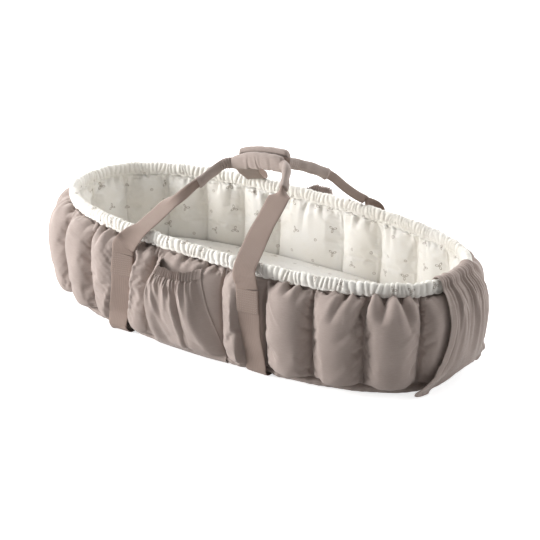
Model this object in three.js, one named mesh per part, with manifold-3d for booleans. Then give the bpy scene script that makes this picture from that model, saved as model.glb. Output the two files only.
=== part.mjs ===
// Infant lounger: a padded, open-topped carrying nest with an oval base, quilted walls and two webbing handles.
// Millimetres, +Z up. X runs from the head end (negative) to the foot end, Y from the front wall to the rear
// wall. The origin is the middle of the underside of the base.
import * as THREE from "three";
import { mergeVertices } from "three/addons/utils/BufferGeometryUtils.js";
import Module from "manifold-3d";

const wasm = await Module();
wasm.setup();

// The rim: an oval seen from above, a little lower at the foot than at the head.
const halfLength = 372;
const halfWidth = 162.2;
const ovalPower = 2.52;
const rimHeight = 178.9;
const rimFall = 7.8;

// The quilted wall. Bulges are measured from the rim's centre line, outwards.
const headChannels = 10;
const footChannels = 10;
const middleFromX = -82;
const middleToX = 54;
const wallBow = 15;
const outerBulge = 38;
const innerBulge = 3;
const fabric = 1.5;
const seamGap = 0.7;
const wallClearance = 0.4;
const skirtBottom = 10;
const skirtStand = 7.5;

// The gathered casing along the rim.
const casingHalfWidth = 6.6;
const casingRise = 11;
const casingDrop = 11;
const casingWall = 3.6;
const ruffles = 60;
const ruffleDepth = 1.5;
const neckBelowHem = 2.2;
const tuck = 6.5;
const elasticWidth = 7;
const elasticThick = 1;

// The base: a padded cover round a board and a sheet of wadding.
const baseHeight = 18;
const baseOverhang = 6;
const baseInset = 6;
const basePadding = 4;
const boardThick = 3;
const baseClearance = 0.3;
const floorThick = 1.5;
const boardSlotLength = 150;

// The mattress.
const mattressInset = 7;
const mattressHeight = 38;
const mattressCrown = 6;
const mattressRound = 9;
const coverThick = 1.5;
const zipLength = 220;
const zipWidth = 5;
const zipPullLength = 16;
const zipPullWidth = 6;
const zipPullThick = 1;

// Webbing: two straps under the base and up both walls, and the handles sewn to them.
const webbingWidth = 39;
const webbingThick = 1.8;
const foldedWidth = 20;
const strapSeat = 0.5;
const strapReach = 27.3;
const hingeDrop = 26.9;
const hingeGap = 0.4;
const tabLength = 40;
const headStrapX = -160.6;
const footStrapX = 109.9;
const grooveDepth = 2.3;
const grooveMargin = 1;
const strapStand = halfWidth + strapReach;
const hingeHeight = rimHeight - hingeDrop;

// The joined grip, which wraps both handles above the middle of the nest.
const gripX = -1;
const gripAboveRim = 103.1;
const gripLength = 106;
const gripRise = 14;
const gripGap = 14;
const sleeveDepth = 13;
const sleeveHeight = 33;
const sleeveRound = 3.5;
const sleeveBore = 0.5;
const leafThick = 5;
const leafRise = 4;
const leafLength = 92;
const tapeThick = 1;
const tapeWidth = 5;
const tapeMargin = 4;
const gripClearance = 0.4;
const gripHeight = rimHeight + gripAboveRim;

// Each handle's legs: how far from its strap, towards the middle, a leg crosses the rim, and where it bends,
// measured from the end of the grip along it, across it and down.
const frontHeadLeg = { rimShift: 32.6, kneeAlong: 22, kneeAcross: 38, kneeDrop: 15 };
const frontFootLeg = { rimShift: 11.9, kneeAlong: 27, kneeAcross: 38, kneeDrop: 19 };
const rearHeadLeg = { rimShift: 15.6, kneeAlong: 20, kneeAcross: 38, kneeDrop: 21 };
const rearFootLeg = { rimShift: 5.9, kneeAlong: 16, kneeAcross: 53, kneeDrop: 21 };

// Two pockets, one in the middle of each long wall.
const pocketTopFromX = -70;
const pocketTopToX = 52;
const pocketFromX = -95;
const pocketToX = 57;
const pocketBelowRim = 16.9;
const pocketBottom = 8;
const pocketStand = 17;
const pocketFolds = 5;
const pocketFoldDepth = 3;
const pocketGap = 1.8;
const hemWidth = 12;
const pocketTop = rimHeight - pocketBelowRim;

// The cover that hangs over the outside of the foot end.
const coverHalf = 84;
const coverStand = 33;
const coverBottom = 6;
const coverFoldDepth = 2.5;
const coverFolds = 4;
const coverClearance = 2;
const bandClearance = 1.2;
const bandInsideDrop = 18;
const coverHingeDrop = 2;

// Shares of the wall's height at which it is shaped, and how far it reaches there.
const rowShares = [0, 0.25, 0.6, 0.88, 1];
const outerShares = [0.41, 0.8, 1, 0.85, 0];
const bowShares = [0.2, 0.75, 1, 0.6, 0];
const innerShares = [0.7, 1, 1, 1, 0];
const strapShares = [0.36, 0.72, 0.86, 0.8];
const channelShares = [0, 0.2, 0.5, 0.8];
const puffPower = 0.5;
const columnClearShare = 1 / 3;

const taupe = new THREE.MeshStandardMaterial({ color: 0x9c8a80, roughness: 0.9, metalness: 0 });
const webbingBrown = new THREE.MeshStandardMaterial({ color: 0x8a776d, roughness: 0.8, metalness: 0 });
const cream = new THREE.MeshStandardMaterial({ color: 0xf0ebdf, roughness: 0.95, metalness: 0 });
const white = new THREE.MeshStandardMaterial({ color: 0xfafafa, roughness: 1, metalness: 0 });
const boardGrey = new THREE.MeshStandardMaterial({ color: 0xb9b2a4, roughness: 0.7, metalness: 0 });
const elasticWhite = new THREE.MeshStandardMaterial({ color: 0xe8e6e0, roughness: 0.7, metalness: 0 });
const zipCream = new THREE.MeshStandardMaterial({ color: 0xe6dfcf, roughness: 0.4, metalness: 0 });

const lounger = new THREE.Group();

// A mesh of its own material, from corners and triangles. If the faces point inwards they are turned round.
function body(name, material, corners, triangles) {
  let volume = 0;
  const side = new THREE.Vector3();
  for (let i = 0; i < triangles.length; i += 3) {
    side.crossVectors(corners[triangles[i + 1]], corners[triangles[i + 2]]);
    volume += corners[triangles[i]].dot(side);
  }
  if (volume < 0) triangles.reverse();
  const geometry = new THREE.BufferGeometry().setFromPoints(corners).setIndex(triangles);
  return mesh(name, material, geometry);
}

function mesh(name, material, geometry) {
  geometry.computeVertexNormals();
  const made = new THREE.Mesh(geometry, material.clone());
  made.name = name;
  return made;
}

// The geometry as a solid for joining and cutting, and back.
function solidOf(geometry) {
  const bare = new THREE.BufferGeometry();
  bare.setAttribute("position", geometry.getAttribute("position"));
  bare.setIndex(geometry.index);
  const merged = mergeVertices(bare);
  const vertProperties = merged.getAttribute("position").array;
  return new wasm.Manifold(new wasm.Mesh({ numProp: 3, vertProperties, triVerts: merged.index.array }));
}

function geometryOf(solid) {
  const made = solid.getMesh();
  const geometry = new THREE.BufferGeometry();
  geometry.setAttribute("position", new THREE.BufferAttribute(made.vertProperties, 3));
  return geometry.setIndex(new THREE.BufferAttribute(made.triVerts, 1));
}

// A closed strip or ring of cloth: each station has an outer and an inner chain of as many points.
function sheathTriangles(stations, closed) {
  const corners = [];
  const triangles = [];
  const chain = stations[0].outer.length;
  for (const station of stations) corners.push(...station.outer, ...station.inner);
  const index = (i, inner, j) => ((i % stations.length) * 2 + inner) * chain + j;
  const quad = (a, b, c, d) => triangles.push(a, b, c, a, c, d);
  const spans = closed ? stations.length : stations.length - 1;
  for (let i = 0; i < spans; i++) {
    for (let j = 0; j < chain - 1; j++) {
      quad(index(i, 0, j), index(i + 1, 0, j), index(i + 1, 0, j + 1), index(i, 0, j + 1));
      triangles.push(index(i, 1, j), index(i + 1, 1, j + 1), index(i + 1, 1, j));
      triangles.push(index(i, 1, j), index(i, 1, j + 1), index(i + 1, 1, j + 1));
    }
    quad(index(i, 1, 0), index(i + 1, 1, 0), index(i + 1, 0, 0), index(i, 0, 0));
    const last = chain - 1;
    quad(index(i, 0, last), index(i + 1, 0, last), index(i + 1, 1, last), index(i, 1, last));
  }
  if (!closed) {
    const end = stations.length - 1;
    for (let j = 0; j < chain - 1; j++) {
      quad(index(0, 1, j), index(0, 0, j), index(0, 0, j + 1), index(0, 1, j + 1));
      quad(index(end, 0, j), index(end, 1, j), index(end, 1, j + 1), index(end, 0, j + 1));
    }
  }
  return [corners, triangles];
}

function sheath(name, material, stations, closed) {
  return body(name, material, ...sheathTriangles(stations, closed));
}

// A solid of stacked rings with as many points each, closed by a fan at each end.
function stack(name, material, rings) {
  const corners = rings.flat();
  const triangles = [];
  const count = rings[0].length;
  for (let r = 0; r < rings.length - 1; r++)
    for (let i = 0; i < count; i++) {
      const a = r * count + i;
      const b = r * count + ((i + 1) % count);
      triangles.push(a, b, b + count, a, b + count, a + count);
    }
  for (const r of [0, rings.length - 1]) {
    const centre = new THREE.Vector3();
    rings[r].forEach((point) => centre.add(point));
    corners.push(centre.divideScalar(count));
    const tip = corners.length - 1;
    for (let i = 0; i < count; i++) {
      const a = r * count + i;
      const b = r * count + ((i + 1) % count);
      triangles.push(...(r ? [a, b, tip] : [b, a, tip]));
    }
  }
  return body(name, material, corners, triangles);
}

// The oval, measured along its length from the head tip: along the front wall to the foot, and back by the rear.
const ovalSteps = 2880;
const ovalTable = [{ run: 0, x: -halfLength, y: 0 }];
for (let i = 1; i <= ovalSteps; i++) {
  const angle = Math.PI * (-1 + (2 * i) / ovalSteps);
  const along = Math.cos(angle);
  const across = Math.sin(angle);
  const x = halfLength * Math.sign(along) * Math.abs(along) ** (2 / ovalPower);
  const y = halfWidth * Math.sign(across) * Math.abs(across) ** (2 / ovalPower);
  const before = ovalTable[i - 1];
  ovalTable.push({ run: before.run + Math.hypot(x - before.x, y - before.y), x, y });
}
const ovalRun = ovalTable[ovalSteps].run;

function ovalAt(run) {
  const wrapped = ((run % ovalRun) + ovalRun) % ovalRun;
  let low = 0;
  let high = ovalSteps;
  while (high - low > 1) {
    const middle = (low + high) >> 1;
    if (ovalTable[middle].run <= wrapped) low = middle;
    else high = middle;
  }
  const from = ovalTable[low];
  const to = ovalTable[high];
  const share = (wrapped - from.run) / (to.run - from.run);
  const x = from.x + (to.x - from.x) * share;
  const y = from.y + (to.y - from.y) * share;
  const steep = ovalPower - 1;
  const slopeX = (Math.sign(x) * Math.abs(x / halfLength) ** steep) / halfLength;
  const slopeY = (Math.sign(y) * Math.abs(y / halfWidth) ** steep) / halfWidth;
  const length = Math.hypot(slopeX, slopeY);
  return { x, y, outX: slopeX / length, outY: slopeY / length };
}

// The run along the front wall at which the oval has this X. The rear wall has the same runs, counted backwards.
function frontRun(x) {
  let best = 0;
  for (let i = 0; i <= ovalSteps / 2; i++)
    if (Math.abs(ovalTable[i].x - x) < Math.abs(ovalTable[best].x - x)) best = i;
  return ovalTable[best].run;
}
const wallRun = (x, side) => (side < 0 ? frontRun(x) : ovalRun - frontRun(x));

function place(run, offset, z) {
  const at = ovalAt(run);
  return new THREE.Vector3(at.x + at.outX * offset, at.y + at.outY * offset, z);
}
const rimAt = (run) => rimHeight - (rimFall * ovalAt(run).x) / halfLength;

// The columns of the quilted wall: four to each channel, and one at each edge of a strap.
const straps = [-1, 1].flatMap((side) => [wallRun(headStrapX, side), wallRun(footStrapX, side)]);
const strapEdges = straps.flatMap((run) => [run - webbingWidth / 2, run + webbingWidth / 2]);
const columnClear = webbingWidth * columnClearShare;
const headRun = frontRun(middleFromX);
const footRun = frontRun(middleToX);
const channels = [{ from: headRun, to: footRun }];
function addChannels(count, from, to) {
  const step = (to - from) / count;
  for (let i = 0; i < count; i++) channels.push({ from: from + i * step, to: from + (i + 1) * step });
}
addChannels(footChannels, footRun, ovalRun - footRun);
channels.push({ from: ovalRun - footRun, to: ovalRun - headRun });
addChannels(headChannels, ovalRun - headRun, ovalRun + headRun);

const runsApart = (a, b) => Math.abs(((a - b + 1.5 * ovalRun) % ovalRun) - ovalRun / 2);
for (const channel of channels) {
  const length = channel.to - channel.from;
  const runs = channelShares.map((share) => channel.from + share * length);
  const kept = runs.filter(
    (run, i) => i === 0 || strapEdges.every((edge) => runsApart(run, edge) > columnClear),
  );
  const edges = strapEdges.map((edge) => edge + (edge < channel.from ? ovalRun : 0));
  kept.push(...edges.filter((edge) => edge > channel.from && edge < channel.to));
  kept.sort((a, b) => a - b);
  channel.columns = kept.map((run) => ({ run, share: (run - channel.from) / length }));
}

// How the wall reaches out at a column and a row: its middle surface, its outer and its inner face.
const underStrap = (run) => straps.some((strap) => runsApart(run, strap) <= webbingWidth / 2 + seamGap);
const coverMargin = (ovalRun / 2 - footRun) / footChannels;
const underCover = (run) => runsApart(run, ovalRun / 2) <= coverHalf + coverMargin;
const bowAt = (row) => bowShares[row] * wallBow;
const strapPlane = (row) => strapStand - (strapShares.at(-1) - strapShares[row]) * outerBulge;
const reachTo = (run, plane) => (plane - Math.abs(ovalAt(run).y)) / Math.abs(ovalAt(run).outY);
const coverAt = (row) => Math.max(outerShares[row] * coverStand, skirtStand);
const puff = (share) => Math.sin(Math.PI * Math.min(Math.max(share, 0), 1)) ** puffPower;

function outerReach(column, row) {
  const seam = bowAt(row) + seamGap / 2 + fabric;
  const crest = Math.max(outerShares[row] * outerBulge, seam);
  let reach = seam + (crest - seam) * (column.share ? puff(column.share) : 0);
  if (underStrap(column.run) && row < strapShares.length)
    reach = Math.min(reach, reachTo(column.run, strapPlane(row) - strapSeat));
  if (underCover(column.run)) reach = Math.min(reach, Math.max(coverAt(row) - coverClearance, seam));
  return reach;
}

function innerReach(column, row) {
  const seam = bowAt(row) - seamGap / 2 - fabric;
  const crest = Math.min(-innerShares[row] * innerBulge - fabric, seam);
  return seam + (crest - seam) * (column.share ? puff(column.share) : 0);
}

const wallFoot = baseHeight + baseClearance;
const neckAt = (run) => rimAt(run) - casingDrop - neckBelowHem;
const rowHeight = (run, row) => wallFoot + rowShares[row] * (neckAt(run) - wallFoot);
const rowNumbers = rowShares.map((_, row) => row);
const allColumns = channels.flatMap((channel) => channel.columns);

// The outer skin runs from a skirt below the rolls up into the casing, and the lining from the floor.
function outerStation(column) {
  const chain = (inward) => {
    const points = [place(column.run, skirtStand + fabric - inward, skirtBottom)];
    for (const row of rowNumbers)
      points.push(place(column.run, outerReach(column, row) - inward, rowHeight(column.run, row)));
    const top = seamGap / 2 + fabric - inward;
    points.push(place(column.run, top, neckAt(column.run) + tuck));
    return points;
  };
  return { outer: chain(0), inner: chain(fabric) };
}

function innerStation(column) {
  const chain = (outward) => {
    const points = rowNumbers.map((row) =>
      place(column.run, innerReach(column, row) + outward, rowHeight(column.run, row)),
    );
    const top = -seamGap / 2 - fabric + outward;
    points.push(place(column.run, top, neckAt(column.run) + tuck));
    return points;
  };
  return { outer: chain(fabric), inner: chain(0) };
}

lounger.add(sheath("outer_shell", taupe, allColumns.map(outerStation), true));
lounger.add(sheath("inner_lining", cream, allColumns.map(innerStation), true));

// One roll of wadding fills each channel. It thins to an edge at its two seams and under the casing.
function waddingRoll(channel, number) {
  const corners = [];
  const triangles = [];
  const last = rowShares.length - 1;
  const ends = [
    { run: channel.from + seamGap, edge: true },
    { run: channel.to - seamGap, edge: true },
  ];
  const columns = [ends[0], ...channel.columns.slice(1), ends[1]];
  const add = (point) => corners.push(point) - 1;
  const grid = columns.map((column) =>
    rowNumbers.map((row) => {
      const z = rowHeight(column.run, row) - (row === last ? seamGap : 0);
      if (column.edge || row === last) {
        const shared = add(place(column.run, bowAt(row), z));
        return [shared, shared];
      }
      const outer = add(place(column.run, outerReach(column, row) - fabric - wallClearance, z));
      const inner = add(place(column.run, innerReach(column, row) + fabric + wallClearance, z));
      return [outer, inner];
    }),
  );
  const triangle = (a, b, c) => {
    if (a !== b && b !== c && c !== a) triangles.push(a, b, c);
  };
  for (let i = 0; i < grid.length - 1; i++) {
    const here = grid[i];
    const next = grid[i + 1];
    for (let j = 0; j < last; j++) {
      triangle(here[j][0], next[j][0], next[j + 1][0]);
      triangle(here[j][0], next[j + 1][0], here[j + 1][0]);
      triangle(here[j][1], next[j + 1][1], next[j][1]);
      triangle(here[j][1], here[j + 1][1], next[j + 1][1]);
    }
    triangle(here[0][1], next[0][1], next[0][0]);
    triangle(here[0][1], next[0][0], here[0][0]);
  }
  return body("wadding_roll_" + String(number).padStart(2, "0"), white, corners, triangles);
}
channels.forEach((channel, i) => lounger.add(waddingRoll(channel, i + 1)));

// The casing: a folded binding with ruffles, open below, which holds the skins' top edges and an elastic.
const hollow = casingHalfWidth - casingWall;
function casingStation(i) {
  const run = (ovalRun * i) / (2 * ruffles);
  const swell = i % 2 ? ruffleDepth : -ruffleDepth / 2;
  const rim = rimAt(run);
  const wide = casingHalfWidth + swell;
  const high = rim + casingRise + swell;
  const low = rim - casingDrop + swell / 2;
  const shoulder = rim + casingRise / 2;
  const chain = (half, top, mid) => [
    place(run, half, low),
    place(run, half, mid),
    place(run, 0, top),
    place(run, -half, mid),
    place(run, -half, low),
  ];
  const topInside = rim + casingRise / 2 - casingWall / 2;
  return { outer: chain(wide, high, shoulder), inner: chain(hollow, topInside, rim) };
}
lounger.add(sheath("rim_casing", cream, Array.from({ length: 2 * ruffles }, (_, i) => casingStation(i)), true));

lounger.add(
  sheath(
    "rim_elastic",
    elasticWhite,
    allColumns.map(({ run }) => {
      const top = rimAt(run) + casingRise / 2 - casingWall;
      const chain = (offset) => [place(run, offset, top - elasticWidth), place(run, offset, top)];
      return { outer: chain(elasticThick / 2), inner: chain(-elasticThick / 2) };
    }),
    true,
  ),
);

// Rings round the oval for the base and the mattress.
const ovalRing = (offset, z, count) =>
  Array.from({ length: count }, (_, i) => place((ovalRun * i) / count, offset, z));
const baseSides = 44;

function cut(made, ...cutters) {
  let solid = solidOf(made.geometry);
  for (const cutter of cutters) solid = solid.subtract(solidOf(cutter));
  return mesh(made.name, made.material, geometryOf(solid));
}

function box(from, to) {
  const size = new THREE.Vector3().subVectors(to, from);
  const middle = new THREE.Vector3().addVectors(from, to).divideScalar(2);
  return new THREE.BoxGeometry(size.x, size.y, size.z).translate(middle.x, middle.y, middle.z);
}

// The base cover is padded all round, with a slot in its floor for the board and a groove for each strap.
const baseRound = baseHeight / 4;
const rollShare = 0.5;
function baseRings(inset, bottom, top) {
  return [
    ovalRing(-baseInset - inset, bottom, baseSides),
    ovalRing(baseOverhang * rollShare - inset, bottom + baseRound / 2, baseSides),
    ovalRing(baseOverhang - inset, bottom + baseRound * 2, baseSides),
    ovalRing(baseOverhang * rollShare - inset, top - baseRound / 2, baseSides),
    ovalRing(-baseInset - inset, top, baseSides),
  ];
}
const hollowBottom = basePadding;
const hollowTop = baseHeight - boardThick / 2;
const sheetRing = (inset, from, to) => [ovalRing(-inset, from, baseSides), ovalRing(-inset, to, baseSides)];
const baseHollowInset = baseInset + basePadding;
const baseHollow = stack("hollow", white, sheetRing(baseHollowInset, hollowBottom, hollowTop));
const slotY = halfWidth / 3;
const boardSlot = box(
  new THREE.Vector3(-boardSlotLength / 2, slotY - fabric / 2, -fabric),
  new THREE.Vector3(boardSlotLength / 2, slotY + fabric / 2, hollowBottom + fabric),
);
const groove = (x) =>
  box(
    new THREE.Vector3(x - webbingWidth / 2 - grooveMargin, -halfWidth * 2, -grooveDepth),
    new THREE.Vector3(x + webbingWidth / 2 + grooveMargin, halfWidth * 2, grooveDepth),
  );
const baseBody = stack("base_cover", taupe, baseRings(0, 0, baseHeight));
lounger.add(cut(baseBody, baseHollow.geometry, boardSlot, groove(headStrapX), groove(footStrapX)));

const boardTop = hollowTop - baseClearance;
const boardBottom = boardTop - boardThick;
const fillInset = baseHollowInset + baseClearance;
lounger.add(stack("base_board", boardGrey, sheetRing(fillInset, boardBottom, boardTop)));
const waddingTop = boardBottom - baseClearance;
lounger.add(stack("base_wadding", white, sheetRing(fillInset, hollowBottom + baseClearance, waddingTop)));
const floorInset = innerBulge + fabric + wallClearance;
lounger.add(stack("inner_floor", cream, sheetRing(floorInset, wallFoot, wallFoot + floorThick)));

// The mattress: a crowned foam core in a zipped cover.
const mattressFoot = wallFoot + floorThick + baseClearance;
const mattressSides = 44;
const crownShares = [0.55, 0.85, 1];
function mattressRings(inset) {
  const bottom = mattressFoot + inset;
  const top = mattressFoot + mattressHeight - inset;
  const edge = -mattressInset - inset;
  const rings = [
    ovalRing(edge - mattressRound, bottom, mattressSides),
    ovalRing(edge, bottom + mattressRound, mattressSides),
    ovalRing(edge, top - mattressRound, mattressSides),
    ovalRing(edge - mattressRound, top, mattressSides),
  ];
  const rise = (share) => top + mattressCrown * Math.sin((Math.PI / 2) * share);
  for (const share of crownShares) {
    const shrink = 1 - share * crownShares[0];
    rings.push(
      rings[3].map((point) => new THREE.Vector3(point.x * shrink, point.y * shrink, rise(share))),
    );
  }
  return rings;
}
const zipHeight = mattressFoot + mattressHeight / 2;
const zipBlock = (spare) =>
  box(
    new THREE.Vector3(halfLength / 2, -zipLength / 2 - spare, zipHeight - zipWidth / 2 - spare),
    new THREE.Vector3(halfLength, zipLength / 2 + spare, zipHeight + zipWidth / 2 + spare),
  );
const coverBody = stack("mattress_cover", cream, mattressRings(0));
const coverHollow = stack("cover_hollow", white, mattressRings(coverThick));
const coverWall = cut(coverBody, coverHollow.geometry);
lounger.add(cut(coverWall, zipBlock(baseClearance)));
const zip = solidOf(coverWall.geometry).intersect(solidOf(zipBlock(0)));
lounger.add(mesh("mattress_zip", zipCream, geometryOf(zip)));
lounger.add(stack("mattress_core", white, mattressRings(coverThick + baseClearance)));
const pullStation = (run) => {
  const chain = (offset) => [place(run, offset, zipHeight - zipPullLength), place(run, offset, zipHeight)];
  const near = baseClearance - mattressInset;
  return { outer: chain(near + zipPullThick), inner: chain(near) };
};
const pullRun = ovalRun / 2 + zipPullWidth;
lounger.add(sheath("mattress_zip_pull", zipCream, [pullRun, pullRun + zipPullWidth].map(pullStation), false));

// A cradle strap runs up the front wall, through its groove under the base, and up the rear wall. Each stretch
// is flat across its width, at one distance from the middle of the nest.
const strapFoot = webbingThick / 2 + baseClearance;
const strapTop = hingeHeight - hingeGap / 2;
const edgesOf = (run) => [run - webbingWidth / 2, run + webbingWidth / 2];
function strapProfile(run, from) {
  const rows = strapShares.map((_, row) => ({ plane: strapPlane(row), z: rowHeight(run, row) }));
  const all = [...rows, { plane: strapStand, z: strapTop }];
  if (from === undefined) return all;
  const next = all.findIndex((point) => point.z > from);
  const share = (from - all[next - 1].z) / (all[next].z - all[next - 1].z);
  const plane = all[next - 1].plane + share * (all[next].plane - all[next - 1].plane);
  return [{ plane, z: from }, ...all.slice(next)];
}

function wallStation(strap, side, point, lift) {
  const chain = (plane) => edgesOf(strap).map((run) => place(run, reachTo(run, plane), point.z));
  const far = chain(point.plane + lift + webbingThick);
  const near = chain(point.plane + lift);
  return side < 0 ? { outer: far, inner: near } : { outer: far.reverse(), inner: near.reverse() };
}

function cradleStrap(name, x) {
  const half = (side) => {
    const run = wallRun(x, side);
    const beyond = (reach) => Math.max(...edgesOf(run).map((edge) => Math.abs(place(edge, reach, 0).y)));
    const skirt = { plane: beyond(skirtStand + fabric + strapSeat), z: skirtBottom };
    const low = { plane: beyond(baseOverhang + strapSeat), z: baseClearance + webbingThick };
    const stations = [low, skirt, ...strapProfile(run)].map((point) => wallStation(run, side, point, 0));
    const y = side * Math.min(...edgesOf(run).map((edge) => Math.abs(place(edge, -baseInset, 0).y)));
    const under = (z) => [-1, 1].map((end) => new THREE.Vector3(x + (end * webbingWidth) / 2, y, z));
    stations.unshift({ outer: under(strapFoot - webbingThick / 2), inner: under(strapFoot + webbingThick / 2) });
    return stations;
  };
  return sheath(name, webbingBrown, [...half(-1).reverse(), ...half(1)], false);
}
lounger.add(cradleStrap("cradle_strap_head", headStrapX));
lounger.add(cradleStrap("cradle_strap_foot", footStrapX));

// The sewn end of a handle, flat on the cradle strap up to the line where the handle bends.
const tabLift = webbingThick + baseClearance;
function tab(name, x, side) {
  const run = wallRun(x, side);
  const points = strapProfile(run, strapTop - tabLength);
  return sheath(name, webbingBrown, points.map((point) => wallStation(run, side, point, tabLift)), false);
}
lounger.add(tab("front_tab_head", headStrapX, -1));
lounger.add(tab("front_tab_foot", footStrapX, -1));
lounger.add(tab("rear_tab_head", headStrapX, 1));
lounger.add(tab("rear_tab_foot", footStrapX, 1));

// The middle of the grip, tilted up towards the foot end.
const gripTilt = Math.atan2(gripRise, gripLength);
const grip = new THREE.Group();
grip.position.set(gripX, 0, gripHeight);
grip.rotation.y = -gripTilt;
lounger.add(grip);
const gripPoint = (along, y) =>
  new THREE.Vector3(gripX + along * Math.cos(gripTilt), y, gripHeight + along * Math.sin(gripTilt));

// A webbing handle: up from the wall, over the rim, along a straight leg, and folded lengthwise through the grip.
const hingeY = strapStand + tabLift + webbingThick;
const foldedThick = 2 * webbingThick;
const straightShares = [0.3, 0.6];
const bendShare = 0.6;
const besideShare = 2.8;
const overShare = 1.4;
const turnShares = [0, 0, 0, 0, 0, 0.1, 0.4, 0.85, 1];
const foldShares = [0, 0, 0, 0, 0.05, 0.4, 0.9, 1, 1];
const flatStations = 4;
function legStations(leg, strapX, end, side) {
  const run = wallRun(strapX, side);
  const rimRun = wallRun(strapX - end * leg.rimShift, side);
  const rim = rimAt(rimRun);
  const atWall = (y, z) => new THREE.Vector3(ovalAt(run).x + ovalAt(run).outX * outerBulge, side * y, z);
  const foot = atWall(hingeY - webbingThick / 2, hingeHeight + hingeGap / 2);
  const lean = atWall(hingeY - webbingThick * 2, hingeHeight + webbingWidth / 3);
  const beside = place((run + rimRun) / 2, casingHalfWidth * besideShare, rim + webbingThick);
  const over = place(rimRun, casingHalfWidth * overShare, rim + casingRise + ruffleDepth + webbingThick);
  const gripEnd = gripPoint(end * (gripLength / 2), (side * gripGap) / 2);
  const knee = new THREE.Vector3(
    gripX + end * (gripLength / 2 + leg.kneeAlong),
    gripEnd.y + side * leg.kneeAcross,
    gripHeight + (end * gripRise) / 2 - leg.kneeDrop,
  );
  const last = gripPoint(end * (gripLength / 2 + webbingThick * 2), gripEnd.y);
  const bend = new THREE.Vector3().lerpVectors(knee, last, bendShare);
  bend.x += end * webbingThick;
  const points = [foot, lean, beside, over];
  for (const share of straightShares) points.push(new THREE.Vector3().lerpVectors(over, knee, share));
  points.push(knee, bend, last);
  return points.map((point, i) => ({
    point,
    turn: turnShares[i],
    fold: foldShares[i],
    end,
    along: i < flatStations ? new THREE.Vector3(1, 0, 0) : undefined,
    sewn: i ? 0 : -end,
  }));
}

function handleWebbing(name, headLeg, footLeg, side) {
  const head = legStations(headLeg, headStrapX, -1, side);
  const foot = legStations(footLeg, footStrapX, 1, side);
  const stations = [...head, ...foot.reverse()];
  const upright = new THREE.Vector3(-Math.sin(gripTilt), 0, Math.cos(gripTilt));
  const sections = stations.map((station, i) => {
    const before = stations[Math.max(i - 1, 0)].point;
    const after = stations[Math.min(i + 1, stations.length - 1)].point;
    const travel = new THREE.Vector3().subVectors(after, before).normalize();
    if (station.sewn) travel.set(0, 0, station.sewn);
    const level = station.along ?? new THREE.Vector3(0, 0, 1).cross(travel).normalize();
    if (level.x * side * station.end < 0) level.negate();
    const width = new THREE.Vector3().copy(level).multiplyScalar(1 - station.turn);
    width.addScaledVector(upright, station.turn);
    if (!station.along) width.addScaledVector(travel, -width.dot(travel));
    width.normalize();
    const across = webbingWidth + (foldedWidth - webbingWidth) * station.fold;
    const thick = webbingThick + (foldedThick - webbingThick) * station.fold;
    const normal = new THREE.Vector3().crossVectors(travel, width).normalize();
    const corner = (sideways, out) =>
      new THREE.Vector3()
        .copy(station.point)
        .addScaledVector(width, (sideways * across) / 2)
        .addScaledVector(normal, (out * thick) / 2);
    return { outer: [corner(-1, 1), corner(1, 1)], inner: [corner(-1, -1), corner(1, -1)] };
  });
  return sheath(name, webbingBrown, sections, false);
}
lounger.add(handleWebbing("front_handle_webbing", frontHeadLeg, frontFootLeg, -1));
lounger.add(handleWebbing("rear_handle_webbing", rearHeadLeg, rearFootLeg, 1));

// The front handle's sleeve, a padded tube round the folded webbing.
function rounded(width, height, radius, middleY, middleZ) {
  const shape = new THREE.Shape();
  const halfY = width / 2 - radius;
  const halfZ = height / 2 - radius;
  shape.absarc(middleY + halfY, middleZ - halfZ, radius, -Math.PI / 2, 0);
  shape.absarc(middleY + halfY, middleZ + halfZ, radius, 0, Math.PI / 2);
  shape.absarc(middleY - halfY, middleZ + halfZ, radius, Math.PI / 2, Math.PI);
  shape.absarc(middleY - halfY, middleZ - halfZ, radius, Math.PI, Math.PI * 1.5);
  return shape;
}
function alongGrip(name, material, shape, length) {
  const cornerSteps = 3;
  const geometry = new THREE.ExtrudeGeometry(shape, {
    depth: length,
    bevelEnabled: false,
    curveSegments: cornerSteps,
  });
  const toGrip = new THREE.Matrix4().makeBasis(
    new THREE.Vector3(0, 1, 0),
    new THREE.Vector3(0, 0, 1),
    new THREE.Vector3(1, 0, 0),
  );
  geometry.translate(0, 0, -length / 2).applyMatrix4(toGrip);
  return mesh(name, material, geometry);
}
const sleeveY = -gripGap / 2;
const sleeve = rounded(sleeveDepth, sleeveHeight, sleeveRound, sleeveY, 0);
const boreWidth = foldedThick / 2 + sleeveBore;
const boreHeight = foldedWidth / 2 + sleeveBore;
const bore = new THREE.Path();
bore.moveTo(sleeveY - boreWidth, -boreHeight);
bore.lineTo(sleeveY - boreWidth, boreHeight);
bore.lineTo(sleeveY + boreWidth, boreHeight);
bore.lineTo(sleeveY + boreWidth, -boreHeight);
bore.closePath();
sleeve.holes.push(bore);
grip.add(alongGrip("front_grip_sleeve", taupe, sleeve, gripLength));

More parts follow.
